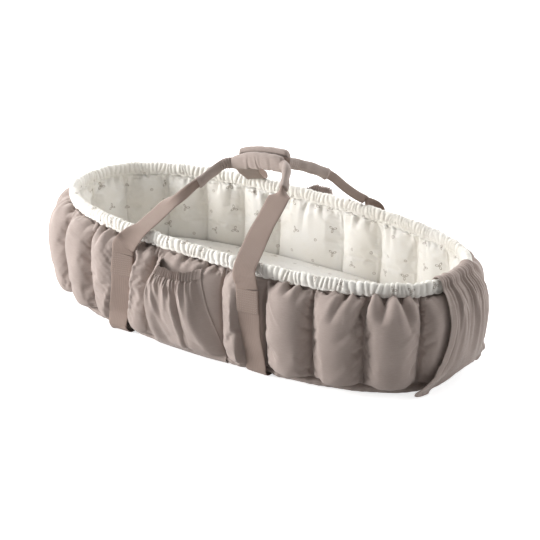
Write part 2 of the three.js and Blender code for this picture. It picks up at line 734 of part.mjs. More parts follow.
// The rear handle's leaf stands behind its webbing. Its lip reaches forward over the webbing and closes on the
// back of the sleeve with two tapes.
const sleeveBack = sleeveY + sleeveDepth / 2;
const loopY = sleeveBack + baseClearance + tapeThick / 2;
const hookY = loopY + tapeThick + gripClearance;
const lipFront = hookY + tapeThick / 2 + baseClearance;
const lipBottom = foldedWidth / 2 + 2 * gripClearance;
const lipTop = sleeveHeight / 2 + leafRise;
const leafY = gripGap / 2 + foldedThick / 2 + gripClearance;
const leafBottom = sleeveRound - sleeveHeight / 2;
const leaf = new THREE.Shape();
leaf.moveTo(leafY, leafBottom);
leaf.lineTo(leafY + leafThick, leafBottom);
leaf.absarc(leafY, lipTop - leafThick, leafThick, 0, Math.PI / 2);
leaf.lineTo(lipFront, lipTop);
leaf.lineTo(lipFront, lipBottom);
leaf.lineTo(leafY, lipBottom);
leaf.closePath();
grip.add(alongGrip("rear_grip_leaf", taupe, leaf, leafLength));
function tape(name, material, y) {
  const geometry = new THREE.BoxGeometry(leafLength - 2 * tapeMargin, tapeThick, tapeWidth);
  const z = lipBottom + gripClearance + tapeWidth / 2;
  return mesh(name, material, geometry.translate(0, y, z));
}
grip.add(tape("grip_loop_tape", webbingBrown, loopY));
grip.add(tape("grip_hook_tape", webbingBrown, hookY));

// How far the outer shell reaches at any run and height, from the columns and rows on either side.
function shellReach(run, z) {
  if (z <= skirtBottom) return skirtStand + fabric;
  const ahead = (column) => ((((column.run - run) % ovalRun) + ovalRun) % ovalRun) || ovalRun;
  const next = allColumns.reduce((best, column) => (ahead(column) < ahead(best) ? column : best));
  const behind = (column) => ((((run - column.run) % ovalRun) + ovalRun) % ovalRun);
  const last = allColumns.reduce((best, column) => (behind(column) < behind(best) ? column : best));
  const share = behind(last) / (behind(last) + ahead(next));
  const row = Math.min(
    rowShares.length - 2,
    Math.max(0, rowNumbers.filter((number) => rowHeight(run, number) <= z).length - 1),
  );
  const low = rowHeight(run, row);
  const rise = Math.max(0, (z - low) / (rowHeight(run, row + 1) - low));
  const here = outerReach(last, row);
  const far = outerReach(next, row + 1);
  const corner = share > rise ? outerReach(next, row) : outerReach(last, row + 1);
  return share > rise
    ? here + share * (corner - here) + rise * (far - corner)
    : here + rise * (corner - here) + share * (far - corner);
}

// A pocket of gathered cloth: sewn to the wall at its sides and foot, standing off it at its elastic top.
const pocketRows = [0, 1, 2, 3];
const standShares = [0.2, 0.55, 0.85, 1];
const pocketSteps = 2 * pocketFolds;
function pocketEdge(share, z) {
  const up = (z - pocketBottom) / (pocketTop - pocketBottom);
  const from = pocketFromX + (pocketTopFromX - pocketFromX) * up;
  const to = pocketToX + (pocketTopToX - pocketToX) * up;
  return from + (to - from) * share;
}
function pocketPoint(side, step, z, stand, crest, inward) {
  const share = step / pocketSteps;
  const run = wallRun(pocketEdge(share, z), side);
  const sewn = step === 0 || step === pocketSteps;
  const fold = stand * (step % 2 ? 1 : 1 - pocketFoldDepth / pocketStand);
  const reach = sewn ? shellReach(run, z) + pocketGap : crest + pocketGap + fold;
  return place(run, reach + fabric - inward, z);
}
function pocketLevels(side) {
  const middle = wallRun((pocketFromX + pocketToX) / 2, side);
  const levels = pocketRows.map((row) => ({
    z: rowHeight(middle, row),
    stand: pocketStand * standShares[row],
    crest: outerShares[row] * outerBulge,
  }));
  const foot = { z: pocketBottom, stand: 0, crest: skirtStand + fabric };
  const top = { z: pocketTop, stand: pocketStand - pocketFoldDepth, crest: levels[3].crest };
  return [foot, ...levels, top];
}
function pocket(name, side) {
  const levels = pocketLevels(side);
  const stations = Array.from({ length: pocketSteps + 1 }, (_, step) => {
    const chain = (inward) =>
      levels.map(({ z, stand, crest }) => pocketPoint(side, step, z, stand, crest, inward));
    return { outer: chain(0), inner: chain(fabric) };
  });
  return sheath(name, taupe, stations, false);
}
function pocketElastic(name, side) {
  const top = pocketLevels(side).at(-1);
  const upper = pocketTop - elasticThick;
  const stations = Array.from({ length: pocketSteps - 1 }, (_, i) => {
    const chain = (inward) =>
      [upper - hemWidth, upper].map((z) => {
        const behind = fabric + wallClearance + inward;
        return pocketPoint(side, i + 1, z, top.stand, top.crest, behind);
      });
    return { outer: chain(0), inner: chain(elasticThick) };
  });
  return sheath(name, elasticWhite, stations, false);
}
lounger.add(pocket("front_pocket", -1));
lounger.add(pocket("rear_pocket", 1));
lounger.add(pocketElastic("front_pocket_elastic", -1));
lounger.add(pocketElastic("rear_pocket_elastic", 1));

// A band folded over the rim at the foot, and the cover that hangs from it over the outside of the foot.
const coverSteps = 2 * coverFolds;
const coverRun = (share, width) => ovalRun / 2 + coverHalf * width * (2 * share - 1);
const topWidthShare = 0.79;
const widthShares = [0.8, 0.62, 0.6, 0.72];
const bottomWidthShare = 1;
const bandHalf = casingHalfWidth + ruffleDepth + bandClearance;
function bandStation(share) {
  const run = coverRun(share, topWidthShare);
  const rim = rimAt(run);
  const top = rim + casingRise + ruffleDepth + bandClearance;
  const chain = (thick) => [
    place(run, bandHalf + thick, rim - coverHingeDrop),
    place(run, bandHalf + thick, rim + casingRise / 2),
    place(run, bandHalf / 2, top + thick),
    place(run, -bandHalf / 2, top + thick),
    place(run, -bandHalf - thick, rim + casingRise / 2),
    place(run, -bandHalf - thick, rim - bandInsideDrop),
  ];
  return { outer: chain(fabric), inner: chain(0) };
}
const coverShares = Array.from({ length: coverSteps + 1 }, (_, i) => i / coverSteps);
lounger.add(sheath("foot_cover_band", taupe, coverShares.map(bandStation), false));
function coverStation(share, i) {
  const fold = i % 2 ? coverFoldDepth : 0;
  const chain = (thick) => {
    const topRun = coverRun(share, topWidthShare);
    const points = [place(topRun, bandHalf + thick, rimAt(topRun) - coverHingeDrop - hingeGap)];
    for (const row of [...pocketRows].reverse()) {
      const run = coverRun(share, widthShares[row]);
      points.push(place(run, coverAt(row) + fold + thick, rowHeight(run, row)));
    }
    points.push(place(coverRun(share, bottomWidthShare), coverAt(0) + thick, coverBottom));
    return points;
  };
  return { outer: chain(fabric), inner: chain(0) };
}
lounger.add(sheath("foot_cover", taupe, coverShares.map(coverStation), false));

export default lounger;
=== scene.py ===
"""An infant lounger: a padded, open-topped carrying nest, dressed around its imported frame. Metres, +Z up.

X runs from the head end (negative) to the foot end, Y from the front wall to the rear wall.
"""

import math

import bmesh
import bpy
import numpy as np
from mathutils import Matrix, Vector


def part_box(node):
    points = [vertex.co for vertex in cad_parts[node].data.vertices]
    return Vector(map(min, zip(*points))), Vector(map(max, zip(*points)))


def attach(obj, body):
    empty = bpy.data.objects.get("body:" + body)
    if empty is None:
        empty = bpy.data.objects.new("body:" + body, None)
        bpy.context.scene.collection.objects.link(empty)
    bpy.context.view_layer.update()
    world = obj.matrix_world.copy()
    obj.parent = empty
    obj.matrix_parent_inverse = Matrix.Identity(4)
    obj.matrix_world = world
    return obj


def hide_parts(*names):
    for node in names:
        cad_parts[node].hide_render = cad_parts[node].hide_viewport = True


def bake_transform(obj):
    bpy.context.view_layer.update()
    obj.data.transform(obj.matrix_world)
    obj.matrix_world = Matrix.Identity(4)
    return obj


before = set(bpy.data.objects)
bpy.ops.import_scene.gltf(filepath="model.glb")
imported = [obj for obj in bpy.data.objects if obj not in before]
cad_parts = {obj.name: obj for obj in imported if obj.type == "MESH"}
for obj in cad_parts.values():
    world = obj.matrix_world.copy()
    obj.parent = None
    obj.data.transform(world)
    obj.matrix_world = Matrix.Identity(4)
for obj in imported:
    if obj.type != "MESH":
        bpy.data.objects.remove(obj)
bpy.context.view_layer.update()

# The base cover is a flat oval cushion of the outer cloth round a board and a sheet of wadding. A top and a
# bottom are sewn together round its edge. The wall stands on it, and it shows as a dark roll underneath.
HALF_LENGTH = 0.372
HALF_WIDTH = 0.1622
OVAL_POWER = 2.52
OVAL_STEPS = 2880
BASE_HEIGHT = 0.018
BASE_BULGE = 0.0105
BASE_PRESSED = 0.0055
BASE_INSET = 0.006
GROOVE_DEPTH = 0.0026
GROOVE_SPARE = 0.0022
TIP_INSET = 0.0105
TIP_LIFT = 0.007
STRAP_DENT = 0.018
HEAD_STRAP_X = -0.1606
FOOT_STRAP_X = 0.1099
WEBBING_WIDTH = 0.039
TAUPE = (0.412, 0.336, 0.302)
TAUPE_SHADE = (0.345, 0.279, 0.249)
MILLIMETRE = 0.001


def running(steps):
    """How far along a line each point lies, from the steps between the points."""
    return np.concatenate([[0], np.cumsum(steps)])


turn = np.linspace(-math.pi, math.pi, OVAL_STEPS + 1)
rounding = 2 / OVAL_POWER
oval_x = HALF_LENGTH * np.sign(np.cos(turn)) * np.abs(np.cos(turn)) ** rounding
oval_y = HALF_WIDTH * np.sign(np.sin(turn)) * np.abs(np.sin(turn)) ** rounding
oval_runs = running(np.hypot(np.diff(oval_x), np.diff(oval_y)))
OVAL_RUN = oval_runs[-1]


def oval_at(run):
    """The oval's points and outward directions at distances along it, from the head tip by the front wall."""
    wrapped = np.mod(run, OVAL_RUN)
    x = np.interp(wrapped, oval_runs, oval_x)
    y = np.interp(wrapped, oval_runs, oval_y)
    steep = OVAL_POWER - 1
    slope_x = np.sign(x) * np.abs(x / HALF_LENGTH) ** steep / HALF_LENGTH
    slope_y = np.sign(y) * np.abs(y / HALF_WIDTH) ** steep / HALF_WIDTH
    length = np.hypot(slope_x, slope_y)
    return x, y, slope_x / length, slope_y / length


def beside_oval(run, reach, height, share=1.0):
    """Points that stand off the oval, or off a smaller copy of it, at a height."""
    x, y, out_x, out_y = oval_at(run)
    flat = np.broadcast_arrays(x * share + out_x * reach, y * share + out_y * reach, height)
    return np.stack(flat, axis=-1)


def wall_run(x, side):
    """The run at which the front (-1) or the rear (1) wall has this X."""
    half = OVAL_STEPS // 2 + 1
    front = np.interp(x, oval_x[:half], oval_runs[:half])
    return front if side < 0 else OVAL_RUN - front


def past(run, other):
    """How far a run lies past another, the short way round. It is below 0 before the other."""
    return np.mod(run - other + 0.5 * OVAL_RUN, OVAL_RUN) - 0.5 * OVAL_RUN


def apart(run, other):
    """How far two runs lie apart, the short way round."""
    return np.abs(past(run, other))


def ease(share):
    """A smooth step from 0 to 1."""
    held = np.clip(share, 0, 1)
    return held * held * (3 - 2 * held)


def placed(name, made, paint):
    """An object in the scene from a finished bmesh, smooth and painted."""
    mesh = bpy.data.meshes.new(name)
    made.to_mesh(mesh)
    made.free()
    mesh.shade_smooth()
    if paint:
        mesh.materials.append(paint)
    piece = bpy.data.objects.new(name, mesh)
    bpy.context.scene.collection.objects.link(piece)
    return piece


def cloth(name, points, paint, prints=None, closed=True):
    """A piece of cloth from rows of points, with a UV map in metres. Where it closes, its edges merge."""
    rows, columns = points.shape[:2]
    if prints is None:
        u = running(np.linalg.norm(np.diff(points, axis=1), axis=2).mean(0))
        v = running(np.linalg.norm(np.diff(points, axis=0), axis=2).mean(1))
        prints = np.stack(np.meshgrid(u, v), axis=-1)
    places = points.tolist()
    marks = prints.tolist()
    made = bmesh.new()
    layer = made.loops.layers.uv.new("cloth")
    bmesh.ops.create_grid(made, x_segments=columns - 1, y_segments=rows - 1, size=0.5)
    for vertex in made.verts:
        column = round((vertex.co.x + 0.5) * (columns - 1))
        row = round((vertex.co.y + 0.5) * (rows - 1))
        for loop in vertex.link_loops:
            loop[layer].uv = marks[row][column]
        vertex.co = places[row][column]
    if closed:
        bmesh.ops.remove_doubles(made, verts=made.verts, dist=1e-6)
        bmesh.ops.recalc_face_normals(made, faces=made.faces)
    return placed(name, made, paint)


def new_material(name):
    """An empty material with its node tree, its shader and the piece's coordinates."""
    made = bpy.data.materials.new(name)
    made.use_nodes = True
    tree = made.node_tree
    return made, tree, tree.nodes["Principled BSDF"], tree.nodes.new("ShaderNodeTexCoord")


def node(tree, kind, inputs=None, **settings):
    """A node with its settings and its inputs, each a value or another node's output."""
    made = tree.nodes.new(kind)
    for key, value in settings.items():
        setattr(made, key, value)
    for key, value in (inputs or {}).items():
        if isinstance(value, bpy.types.NodeSocket):
            tree.links.new(value, made.inputs[key])
        else:
            made.inputs[key].default_value = value
    return made


def maths(tree, operation, *values):
    """The result of one operation on values or other nodes' outputs."""
    return node(tree, "ShaderNodeMath", dict(enumerate(values)), operation=operation).outputs[0]


def mixed(tree, share, first, second, blend_type="MIX"):
    """A colour between two colours."""
    sockets = {0: share, 6: first, 7: second}
    return node(tree, "ShaderNodeMix", sockets, data_type="RGBA", blend_type=blend_type).outputs[2]


def stretched(tree, place, scale, turned=0.0):
    """The place, scaled along each axis and turned."""
    wanted = {"Vector": place, "Scale": scale, "Rotation": (0, 0, turned)}
    return node(tree, "ShaderNodeMapping", wanted).outputs[0]


def speckle(tree, place, scale, detail=2.0):
    """Noise at so many grains a metre."""
    return node(tree, "ShaderNodeTexNoise", {"Vector": place, "Scale": scale, "Detail": detail}).outputs[0]


def threads(tree, place, scale, direction):
    """Parallel threads at so many a metre, a little uneven."""
    wanted = {"Vector": place, "Scale": scale, "Distortion": 0.8, "Detail": 1.0}
    return node(tree, "ShaderNodeTexWave", wanted, bands_direction=direction).outputs["Fac"]


def tinted(tree, shader, tone, limits, shade, light, thread, relief):
    """Colour a cloth by a tone, from its shade to its light, and darker between its threads."""
    wanted = {"Value": tone, "From Min": limits[0], "From Max": limits[1]}
    spread = node(tree, "ShaderNodeMapRange", wanted).outputs[0]
    colour = mixed(tree, spread, (*shade, 1), (*light, 1))
    depth = maths(tree, "MULTIPLY_ADD", thread, relief, 0.9)
    tree.links.new(mixed(tree, 1.0, colour, depth, "MULTIPLY"), shader.inputs["Base Color"])


def grained(tree, shader, grain, strength, distance, roughness):
    """Raise a surface by its grain, and set how rough it is."""
    bump = node(tree, "ShaderNodeBump", {"Height": grain, "Strength": strength, "Distance": distance})
    tree.links.new(bump.outputs[0], shader.inputs["Normal"])
    shader.inputs["Roughness"].default_value = roughness


def cotton(name, light, shade, sheen):
    """Brushed cotton: a plain weave with slubs, soft clouds of colour and a little fuzz."""
    made, tree, shader, place = new_material(name)
    flat = place.outputs["UV"]
    cloud = speckle(tree, place.outputs["Object"], 13.0, 3.0)
    slub = speckle(tree, stretched(tree, flat, (1, 6, 1)), 120.0)
    weave = maths(tree, "MULTIPLY", threads(tree, flat, 260.0, "X"), threads(tree, flat, 260.0, "Y"))
    tone = maths(tree, "MULTIPLY_ADD", slub, 0.3, maths(tree, "MULTIPLY", cloud, 0.7))
    tinted(tree, shader, tone, (0.38, 0.62), shade, light, weave, 0.2)
    grained(tree, shader, maths(tree, "MULTIPLY_ADD", slub, 0.8, weave), 0.4, 0.0004, 0.8)
    shader.inputs["Sheen Weight"].default_value = sheen
    shader.inputs["Sheen Roughness"].default_value = 0.4
    return made


taupe_cotton = cotton("taupe_cotton", TAUPE, TAUPE_SHADE, 0.2)
base_run = np.linspace(0, OVAL_RUN, 601)
STRAP_DRIFTS = {
    HEAD_STRAP_X: [(0, -8), (20, -7.5), (40, -4), (80, 8), (110, 15), (150, 22)],
    FOOT_STRAP_X: [(0, 6), (20, 6), (40, 4), (80, 1), (150, 0)],
}


def from_table(pairs, at):
    """The second value of pairs in millimetres, at a first value in metres."""
    table = np.array(pairs) * MILLIMETRE
    return np.interp(at, table[:, 0], table[:, 1])


def strap_middle(strap_x, height):
    """The X of a strap's middle line at a height. It drifts as the strap rises."""
    return strap_x + from_table(STRAP_DRIFTS[strap_x], height)


def beyond_straps(run, height):
    """How far a run lies outside the nearest strap's edge at a height."""
    away = []
    for strap_x in STRAP_DRIFTS:
        for side in (-1, 1):
            away.append(apart(run, wall_run(strap_middle(strap_x, height), side)))
    return np.min(away, axis=0) - 0.5 * WEBBING_WIDTH


base_free = ease(beyond_straps(base_run, 0.01) / STRAP_DENT)
at_tip = 1 - ease((apart(base_run, 0.5 * OVAL_RUN) - 0.02) / 0.06)
base_reach = BASE_PRESSED + (BASE_BULGE - BASE_PRESSED) * base_free - TIP_INSET * at_tip
base_pucker = 0.0008 * np.sin(base_run * 410) * np.sin(base_run * 43 + 1) + 0.0009 * np.sin(base_run * 97)
base_pucker = base_pucker * base_free
base_rows = []
for share in np.linspace(0, 1, 24):
    bottom = beside_oval(base_run, -BASE_INSET * share, 0, share)
    groove = np.min([np.abs(bottom[:, 0] - strap_middle(x, 0)) for x in STRAP_DRIFTS], axis=0)
    beside = (groove - 0.5 * WEBBING_WIDTH - GROOVE_SPARE) / GROOVE_SPARE
    bottom[:, 2] = GROOVE_DEPTH * (1 - ease(beside)) + TIP_LIFT * at_tip * ease((share - 0.8) / 0.2)
    base_rows.append(bottom)
for angle in np.linspace(-0.45 * math.pi, 0.5 * math.pi, 16):
    reach = (base_reach + base_pucker + BASE_INSET) * np.cos(angle) - BASE_INSET
    low = base_rows[23][:, 2] * ease(-angle)
    base_rows.append(beside_oval(base_run, reach, 0.5 * BASE_HEIGHT * (1 + np.sin(angle)) + low))
for share in (0.9, 0.6, 0.3, 0):
    base_rows.append(beside_oval(base_run, -BASE_INSET * share, BASE_HEIGHT, share))
base = cloth("base_cover_dressed", np.array(base_rows), taupe_cotton)
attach(base, "root")
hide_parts("base_cover", "base_wadding")

# The outer shell is one long band of the taupe cloth, sewn to the lining in vertical seams and stuffed in
# between, so each channel bulges. It is gathered into the rim's casing above and into the base seam below.
HEAD_CHANNELS = 10
FOOT_CHANNELS = 10
MIDDLE_FROM_X = -0.082
MIDDLE_TO_X = 0.054
RIM_HEIGHT = 0.1789
RIM_FALL = 0.0078
NECK_BELOW_RIM = 0.0132
SEAM_GAP = 0.00035
OUTER_CREST = [(6.0, 16.6), (11, 15.6), (17.5, 15), (24, 18.5), (30, 31), (34.2, 56), (37.6, 85), (38.8, 112)]
OUTER_CREST += [(37, 135), (31.5, 152), (22, 162.5), (11, 167), (2.2, 167.5), (1.8, 173)]
OUTER_SEAM = [(6.0, 16.6), (5.2, 17.6), (4.6, 20), (4.4, 24), (5.6, 38), (8.4, 62), (10.6, 88), (11.0, 112)]
OUTER_SEAM += [(10.2, 135), (7.6, 150), (5.2, 160), (3.2, 165), (1.9, 167.5), (1.8, 173)]
STRAP_PLANE = [(2, 168.7), (10, 171.7), (20, 172.8), (36, 174.5), (55, 178), (80, 182.5), (108, 187.5)]
STRAP_PLANE += [(130, 189.2), (150, 189.5), (190, 189.5)]
STRAP_SEAT = 0.0006
BESIDE_STRAP_RISE = 2.4
BESIDE_STRAP_RISE_LOST = 1.7
STRAP_LEAN = 0.24
FOOT_STRAP_LEAN = 0.16
COVER_HALF = 0.084
COVER_WIDTHS = [(3, 0.98), (8, 1.06), (13, 1.06), (22, 0.94), (36, 0.762), (56, 0.667), (86, 0.595)]
COVER_WIDTHS += [(118, 0.552), (149, 0.56), (172, 0.55)]
COVER_PRESS = 0.24
POCKET_SPAN = (-0.114, 0.060)
POCKET_TOP = 0.162
NECK_HEIGHT = 0.1657
CHANNEL_COLUMNS = 18
MIDDLE_COLUMNS = 28
WIDE_CHANNEL = 0.11
WALL_ROWS = 43
ROW_CROWDING = 0.1
HEAD_FULLER = 0.22
SHELL_AIR = {"pressure": 3.0, "spare": 0.03, "most": 0.006}
SHELL_FOLDS = {
    "top": (72, 0.0056, 0.048, 0.0042), "fine": (150, 0.0020, 0.018, 0.0024),
    "low": (90, 0.0016, 0.022, 0.0036), "drawn": (6, 0.0028), "slack": 0.0006,
}
random = np.random.default_rng(11)

head_run = wall_run(MIDDLE_FROM_X, -1)
foot_run = wall_run(MIDDLE_TO_X, -1)
seams = [head_run, foot_run]
seams += list(foot_run + (OVAL_RUN - 2 * foot_run) * np.arange(1, FOOT_CHANNELS + 1) / FOOT_CHANNELS)
rear_head_run = OVAL_RUN - head_run
seams += list(rear_head_run + 2 * head_run * np.arange(HEAD_CHANNELS + 1) / HEAD_CHANNELS)


def wall_columns(fineness):
    """The runs of the wall's columns, crowded towards the seams, with each one's share of its channel."""
    runs, shares = [], []
    for start, end in zip(seams, seams[1:]):
        wide = end - start > WIDE_CHANNEL
        count = fineness * (MIDDLE_COLUMNS if wide else CHANNEL_COLUMNS)
        share = np.arange(count) / count
        share = share - 0.055 * np.sin(2 * math.pi * share)
        runs.append(start + (end - start) * share)
        shares.append(share)
    return np.concatenate([*runs, [seams[-1]]]), np.concatenate([*shares, [0.0]])


def neck_at(run):
    """The height of the casing's neck, where the wall is sewn into it."""
    return RIM_HEIGHT - RIM_FALL * oval_at(run)[0] / HALF_LENGTH - NECK_BELOW_RIM


def lengths_along(points):
    """How far along a line of points each one lies."""
    return running(np.linalg.norm(np.diff(points, axis=0), axis=1))


def through(knots, at):
    """A smooth line through knots in millimetres, at shares of its length."""
    knots = np.array(knots, float) * MILLIMETRE
    length = lengths_along(knots)
    where = length / length[-1]
    slopes = np.gradient(knots, where, axis=0)
    low = np.clip(np.searchsorted(where, at, side="right") - 1, 0, len(where) - 2)
    span = (where[low + 1] - where[low])[:, None]
    share = (at - where[low])[:, None] / span
    start, end = knots[low], knots[low + 1]
    near, far = slopes[low] * span, slopes[low + 1] * span
    square, cube = share**2, share**3
    curve = start * (2 * cube - 3 * square + 1) + near * (cube - 2 * square + share)
    return curve + end * (3 * square - 2 * cube) + far * (cube - square)


def bulge(share, power=0.56):
    """How full a channel is between its seams."""
    return np.abs(np.sin(math.pi * share)) ** power


def strap_plane(height):
    """How far from the middle of the nest a strap's inner face stands at a height."""
    return from_table(STRAP_PLANE, height)


def strap_lean(strap_x, height):
    """How steeply a strap leans in towards its footward edge at a height."""
    if strap_x == FOOT_STRAP_X:
        return FOOT_STRAP_LEAN * ease((height - 0.07) / 0.04)
    return STRAP_LEAN * ease((height - 0.02) / 0.03)


def strap_sink(x, height):
    """How far the straps lie inside their plane at an X."""
    total = 0.0
    for strap_x in STRAP_DRIFTS:
        from_middle = x - strap_middle(strap_x, height)
        from_edge = np.clip(from_middle + 0.5 * WEBBING_WIDTH, 0, WEBBING_WIDTH)
        fade = 1 - ease((from_middle - 0.5 * WEBBING_WIDTH) / 0.02)
        total = total + strap_lean(strap_x, height) * from_edge * fade
    return total


def under_strap(run, reach, height):
    """The reach, held back where a strap presses on the wall."""
    x, y, _, out_y = oval_at(run)
    inside = strap_plane(height) - strap_sink(x, height) - STRAP_SEAT
    flush = (inside - np.abs(y)) / np.maximum(np.abs(out_y), 0.3)
    beyond = beyond_straps(run, height)
    steep = BESIDE_STRAP_RISE - BESIDE_STRAP_RISE_LOST * ease((height - 0.13) / 0.02)
    spare = np.maximum(beyond - 0.0005, 0) * steep
    return np.where(beyond < 0.06, np.minimum(reach, flush + spare), reach)


def cover_width(height):
    """How wide the foot cover is at a height, as a share of COVER_HALF."""
    table = np.array(COVER_WIDTHS)
    return np.interp(height / MILLIMETRE, table[:, 0], table[:, 1])


def covered(run, height):
    """1 under the foot cover and 0 clear of it."""
    half = COVER_HALF * cover_width(height)
    return 1 - ease((apart(run, 0.5 * OVAL_RUN) - half + 0.004) / 0.026)


def pocketed(run, height):
    """1 behind a pocket and 0 clear of both."""
    behind = 0.0
    for side in (-1, 1):
        low, high = sorted(wall_run(x, side) for x in POCKET_SPAN)
        behind = behind + ease((run - low) / 0.01) * ease((high - run) / 0.01)
    return behind * ease((POCKET_TOP - 0.002 - height) / 0.008)


def hidden_wall(run, height):
    """1 under the foot cover or behind a pocket, and 0 clear of them."""
    return np.minimum(covered(run, height) + pocketed(run, height), 1)


def wall_section(crest, seam, run, share, at):
    """A skin's reach and height between its seams, at shares of its height."""
    crest, seam = through(crest, at)[:, None, :], through(seam, at)[:, None, :]
    section = seam + (crest - seam) * bulge(share)[None, :, None]
    return section[..., 0], section[..., 1] * (neck_at(run) / NECK_HEIGHT)[None, :]


def outer_wall(run, share, at):
    """The outer skin, pressed in by the foot cover and the straps, and fuller at the head end."""
    reach, height = wall_section(OUTER_CREST, OUTER_SEAM, run, share, at)
    reach = reach * (1 - COVER_PRESS * covered(run[None, :], height))
    headward = ease((-oval_at(run)[0] - 0.24) / 0.12)[None, :]
    reach = reach * (1 + HEAD_FULLER * headward)
    return under_strap(run[None, :], reach, height), height


def blown_up(points, sewn, free, pressure, spare, most):
    """The cloth as air pushes it out between its sewn threads, with its moves capped."""
    trial = cloth("trial", points, None, closed=False)
    group = trial.vertex_groups.new(name="sewn")
    group.add(np.nonzero(sewn.reshape(-1))[0].tolist(), 1.0, "REPLACE")
    modifier = trial.modifiers.new("air", "CLOTH")
    modifier.settings.vertex_group_mass = "sewn"
    modifier.settings.quality = 6
    modifier.settings.mass = 0.2
    modifier.settings.bending_stiffness = 0.6
    modifier.settings.shrink_min = -spare
    modifier.settings.use_pressure = True
    modifier.settings.uniform_pressure_force = pressure
    modifier.settings.effector_weights.gravity = 0
    for step in range(1, 21):
        bpy.context.scene.frame_set(step)
    settled = np.empty(points.size, np.float32)
    graph = bpy.context.evaluated_depsgraph_get()
    trial.evaluated_get(graph).data.vertices.foreach_get("co", settled)
    bpy.context.scene.frame_set(1)
    bpy.data.objects.remove(trial)
    move = settled.reshape(points.shape) - points
    length = np.linalg.norm(move, axis=-1, keepdims=True)
    return points + move * np.minimum(1, most / np.maximum(length, 1e-9)) * free[..., None]


def doubled(values, axis):
    """The values with a smooth one added between each two along an axis."""
    line = np.moveaxis(values, axis, 0)
    before = np.concatenate([2 * line[:1] - line[1:2], line[:-2]])
    after = np.concatenate([line[2:], 2 * line[-1:] - line[-2:-1]])
    middle = (9 * (line[:-1] + line[1:]) - before - after) / 16
    fine = np.empty((2 * len(line) - 1, *line.shape[1:]))
    fine[::2], fine[1::2] = line, middle
    return np.moveaxis(fine, 0, axis)


def refined(points):
    """Twice as many rows and four times as many columns."""
    return doubled(doubled(doubled(points, 0), 1), 1)


def sewn_threads(points):
    """The points of a wall's cloth that are sewn down: its seams, its foot and its top."""
    sewn = np.zeros(points.shape[:2], bool)
    sewn[:, coarse_share == 0] = True
    sewn[:2] = True
    sewn[-3:] = True
    return sewn


def facing(points, around):
    """The outward direction at each point of a grid that goes around the nest."""
    if around:
        sides = np.concatenate([points[:, -2:-1], points, points[:, 1:2]], axis=1)
        along = sides[:, 2:] - sides[:, :-2]
    else:
        along = np.gradient(points, axis=1)
    normal = np.cross(along, np.gradient(points, axis=0))
    return normal / np.maximum(np.linalg.norm(normal, axis=-1, keepdims=True), 1e-12)


def hump(away, wide):
    """A soft hump, 1 in its middle."""
    return np.exp(-((away / wide) ** 2))


def gathers(run, depth, count, height, reach, width):
    """Darts below a gathered edge: each is a sharp valley between two ridges, and runs out in a point."""
    folds = np.zeros(np.broadcast_shapes(run.shape, depth.shape))
    start = (np.arange(count) + random.uniform(-0.45, 0.45, count)) * OVAL_RUN / count
    size = height * random.uniform(0.25, 1.5, count)
    length = reach * random.uniform(0.35, 1.7, count)
    slant = random.uniform(-0.3, 0.3, count)
    for first, tall, long, lean in zip(start, size, length, slant):
        columns = np.nonzero(apart(run[0], first) < 0.035)[0]
        deep = depth[:, columns]
        away = past(run[:, columns], first) - lean * deep
        gone = np.clip(deep / long, 0, 1)
        wide = width * (1 + 0.5 * gone)
        valley = np.exp(-((np.abs(away) / wide) ** 1.3))
        ridges = hump(np.abs(away) - 2.0 * wide, 1.2 * wide)
        folds[:, columns] += tall * (0.6 * ridges - valley) * (1 - gone) ** 0.8
    return folds


def creases(run, length, count, deepest):
    """Slanting creases that start at a channel's seams and die away inside it, as pulled cloth makes them."""
    drawn = np.zeros(np.broadcast_shapes(run.shape, length.shape))
    for start, end in zip(seams, seams[1:]):
        middle = 0.5 * (start + end)
        columns = np.nonzero(apart(run[0], middle) < 0.5 * (end - start))[0]
        across = past(run[:, columns], start)
        down = length[:, columns]
        for _ in range(count):
            from_end = random.uniform() < 0.5
            origin = (end - start) if from_end else 0.0
            level = random.uniform(0.01, 0.17)
            way = random.uniform(0.25, 1.05) * (1 if random.uniform() < 0.75 else -1)
            heading = (-math.cos(way) if from_end else math.cos(way), -math.sin(way))
            if level < 0.06:
                heading = (heading[0], abs(heading[1]))
            reach = random.uniform(0.02, 0.07)
            wide = random.uniform(0.0036, 0.0085)
            tall = deepest * random.uniform(0.3, 1)
            ahead = (across - origin) * heading[0] + (down - level) * heading[1]
            aside = (across - origin) * heading[1] - (down - level) * heading[0]
            window = np.clip(1 - ahead / reach, 0, 1) * ease(ahead / 0.006)
            drawn[:, columns] += tall * window * (hump(aside, wide) - 0.8 * hump(aside - 1.5 * wide, wide))
    return drawn


def lumps(run, length, size):
    """Slow uneven swells, as loose filling leaves them."""
    total = np.zeros(np.broadcast_shapes(run.shape, length.shape))
    for _ in range(36):
        around = round(OVAL_RUN / random.uniform(0.03, 0.11)) * random.choice((-1, 1))
        up = random.uniform(15, 70)
        total += np.sin(2 * math.pi * around * run / OVAL_RUN + up * length + random.uniform(0, 6.28))
    return size * total / 6


def skin_folds(points, top, fine, low, drawn, slack):
    """A skin's top gathers, its low gathers and its creases, with how far each point is from foot and top."""
    steps = np.diff(points, axis=0, prepend=points[:1])
    from_foot = np.cumsum(np.linalg.norm(steps, axis=2), axis=0)
    to_top = from_foot[-1:] - from_foot
    top_folds = gathers(run_grid, to_top, *top) + gathers(run_grid, to_top, *fine)
    low_folds = gathers(run_grid, from_foot, *low)
    pulled = creases(run_grid, from_foot, *drawn) + lumps(run_grid, from_foot, slack)
    return top_folds * ease((to_top - 0.006) / 0.004), low_folds, pulled, from_foot, to_top


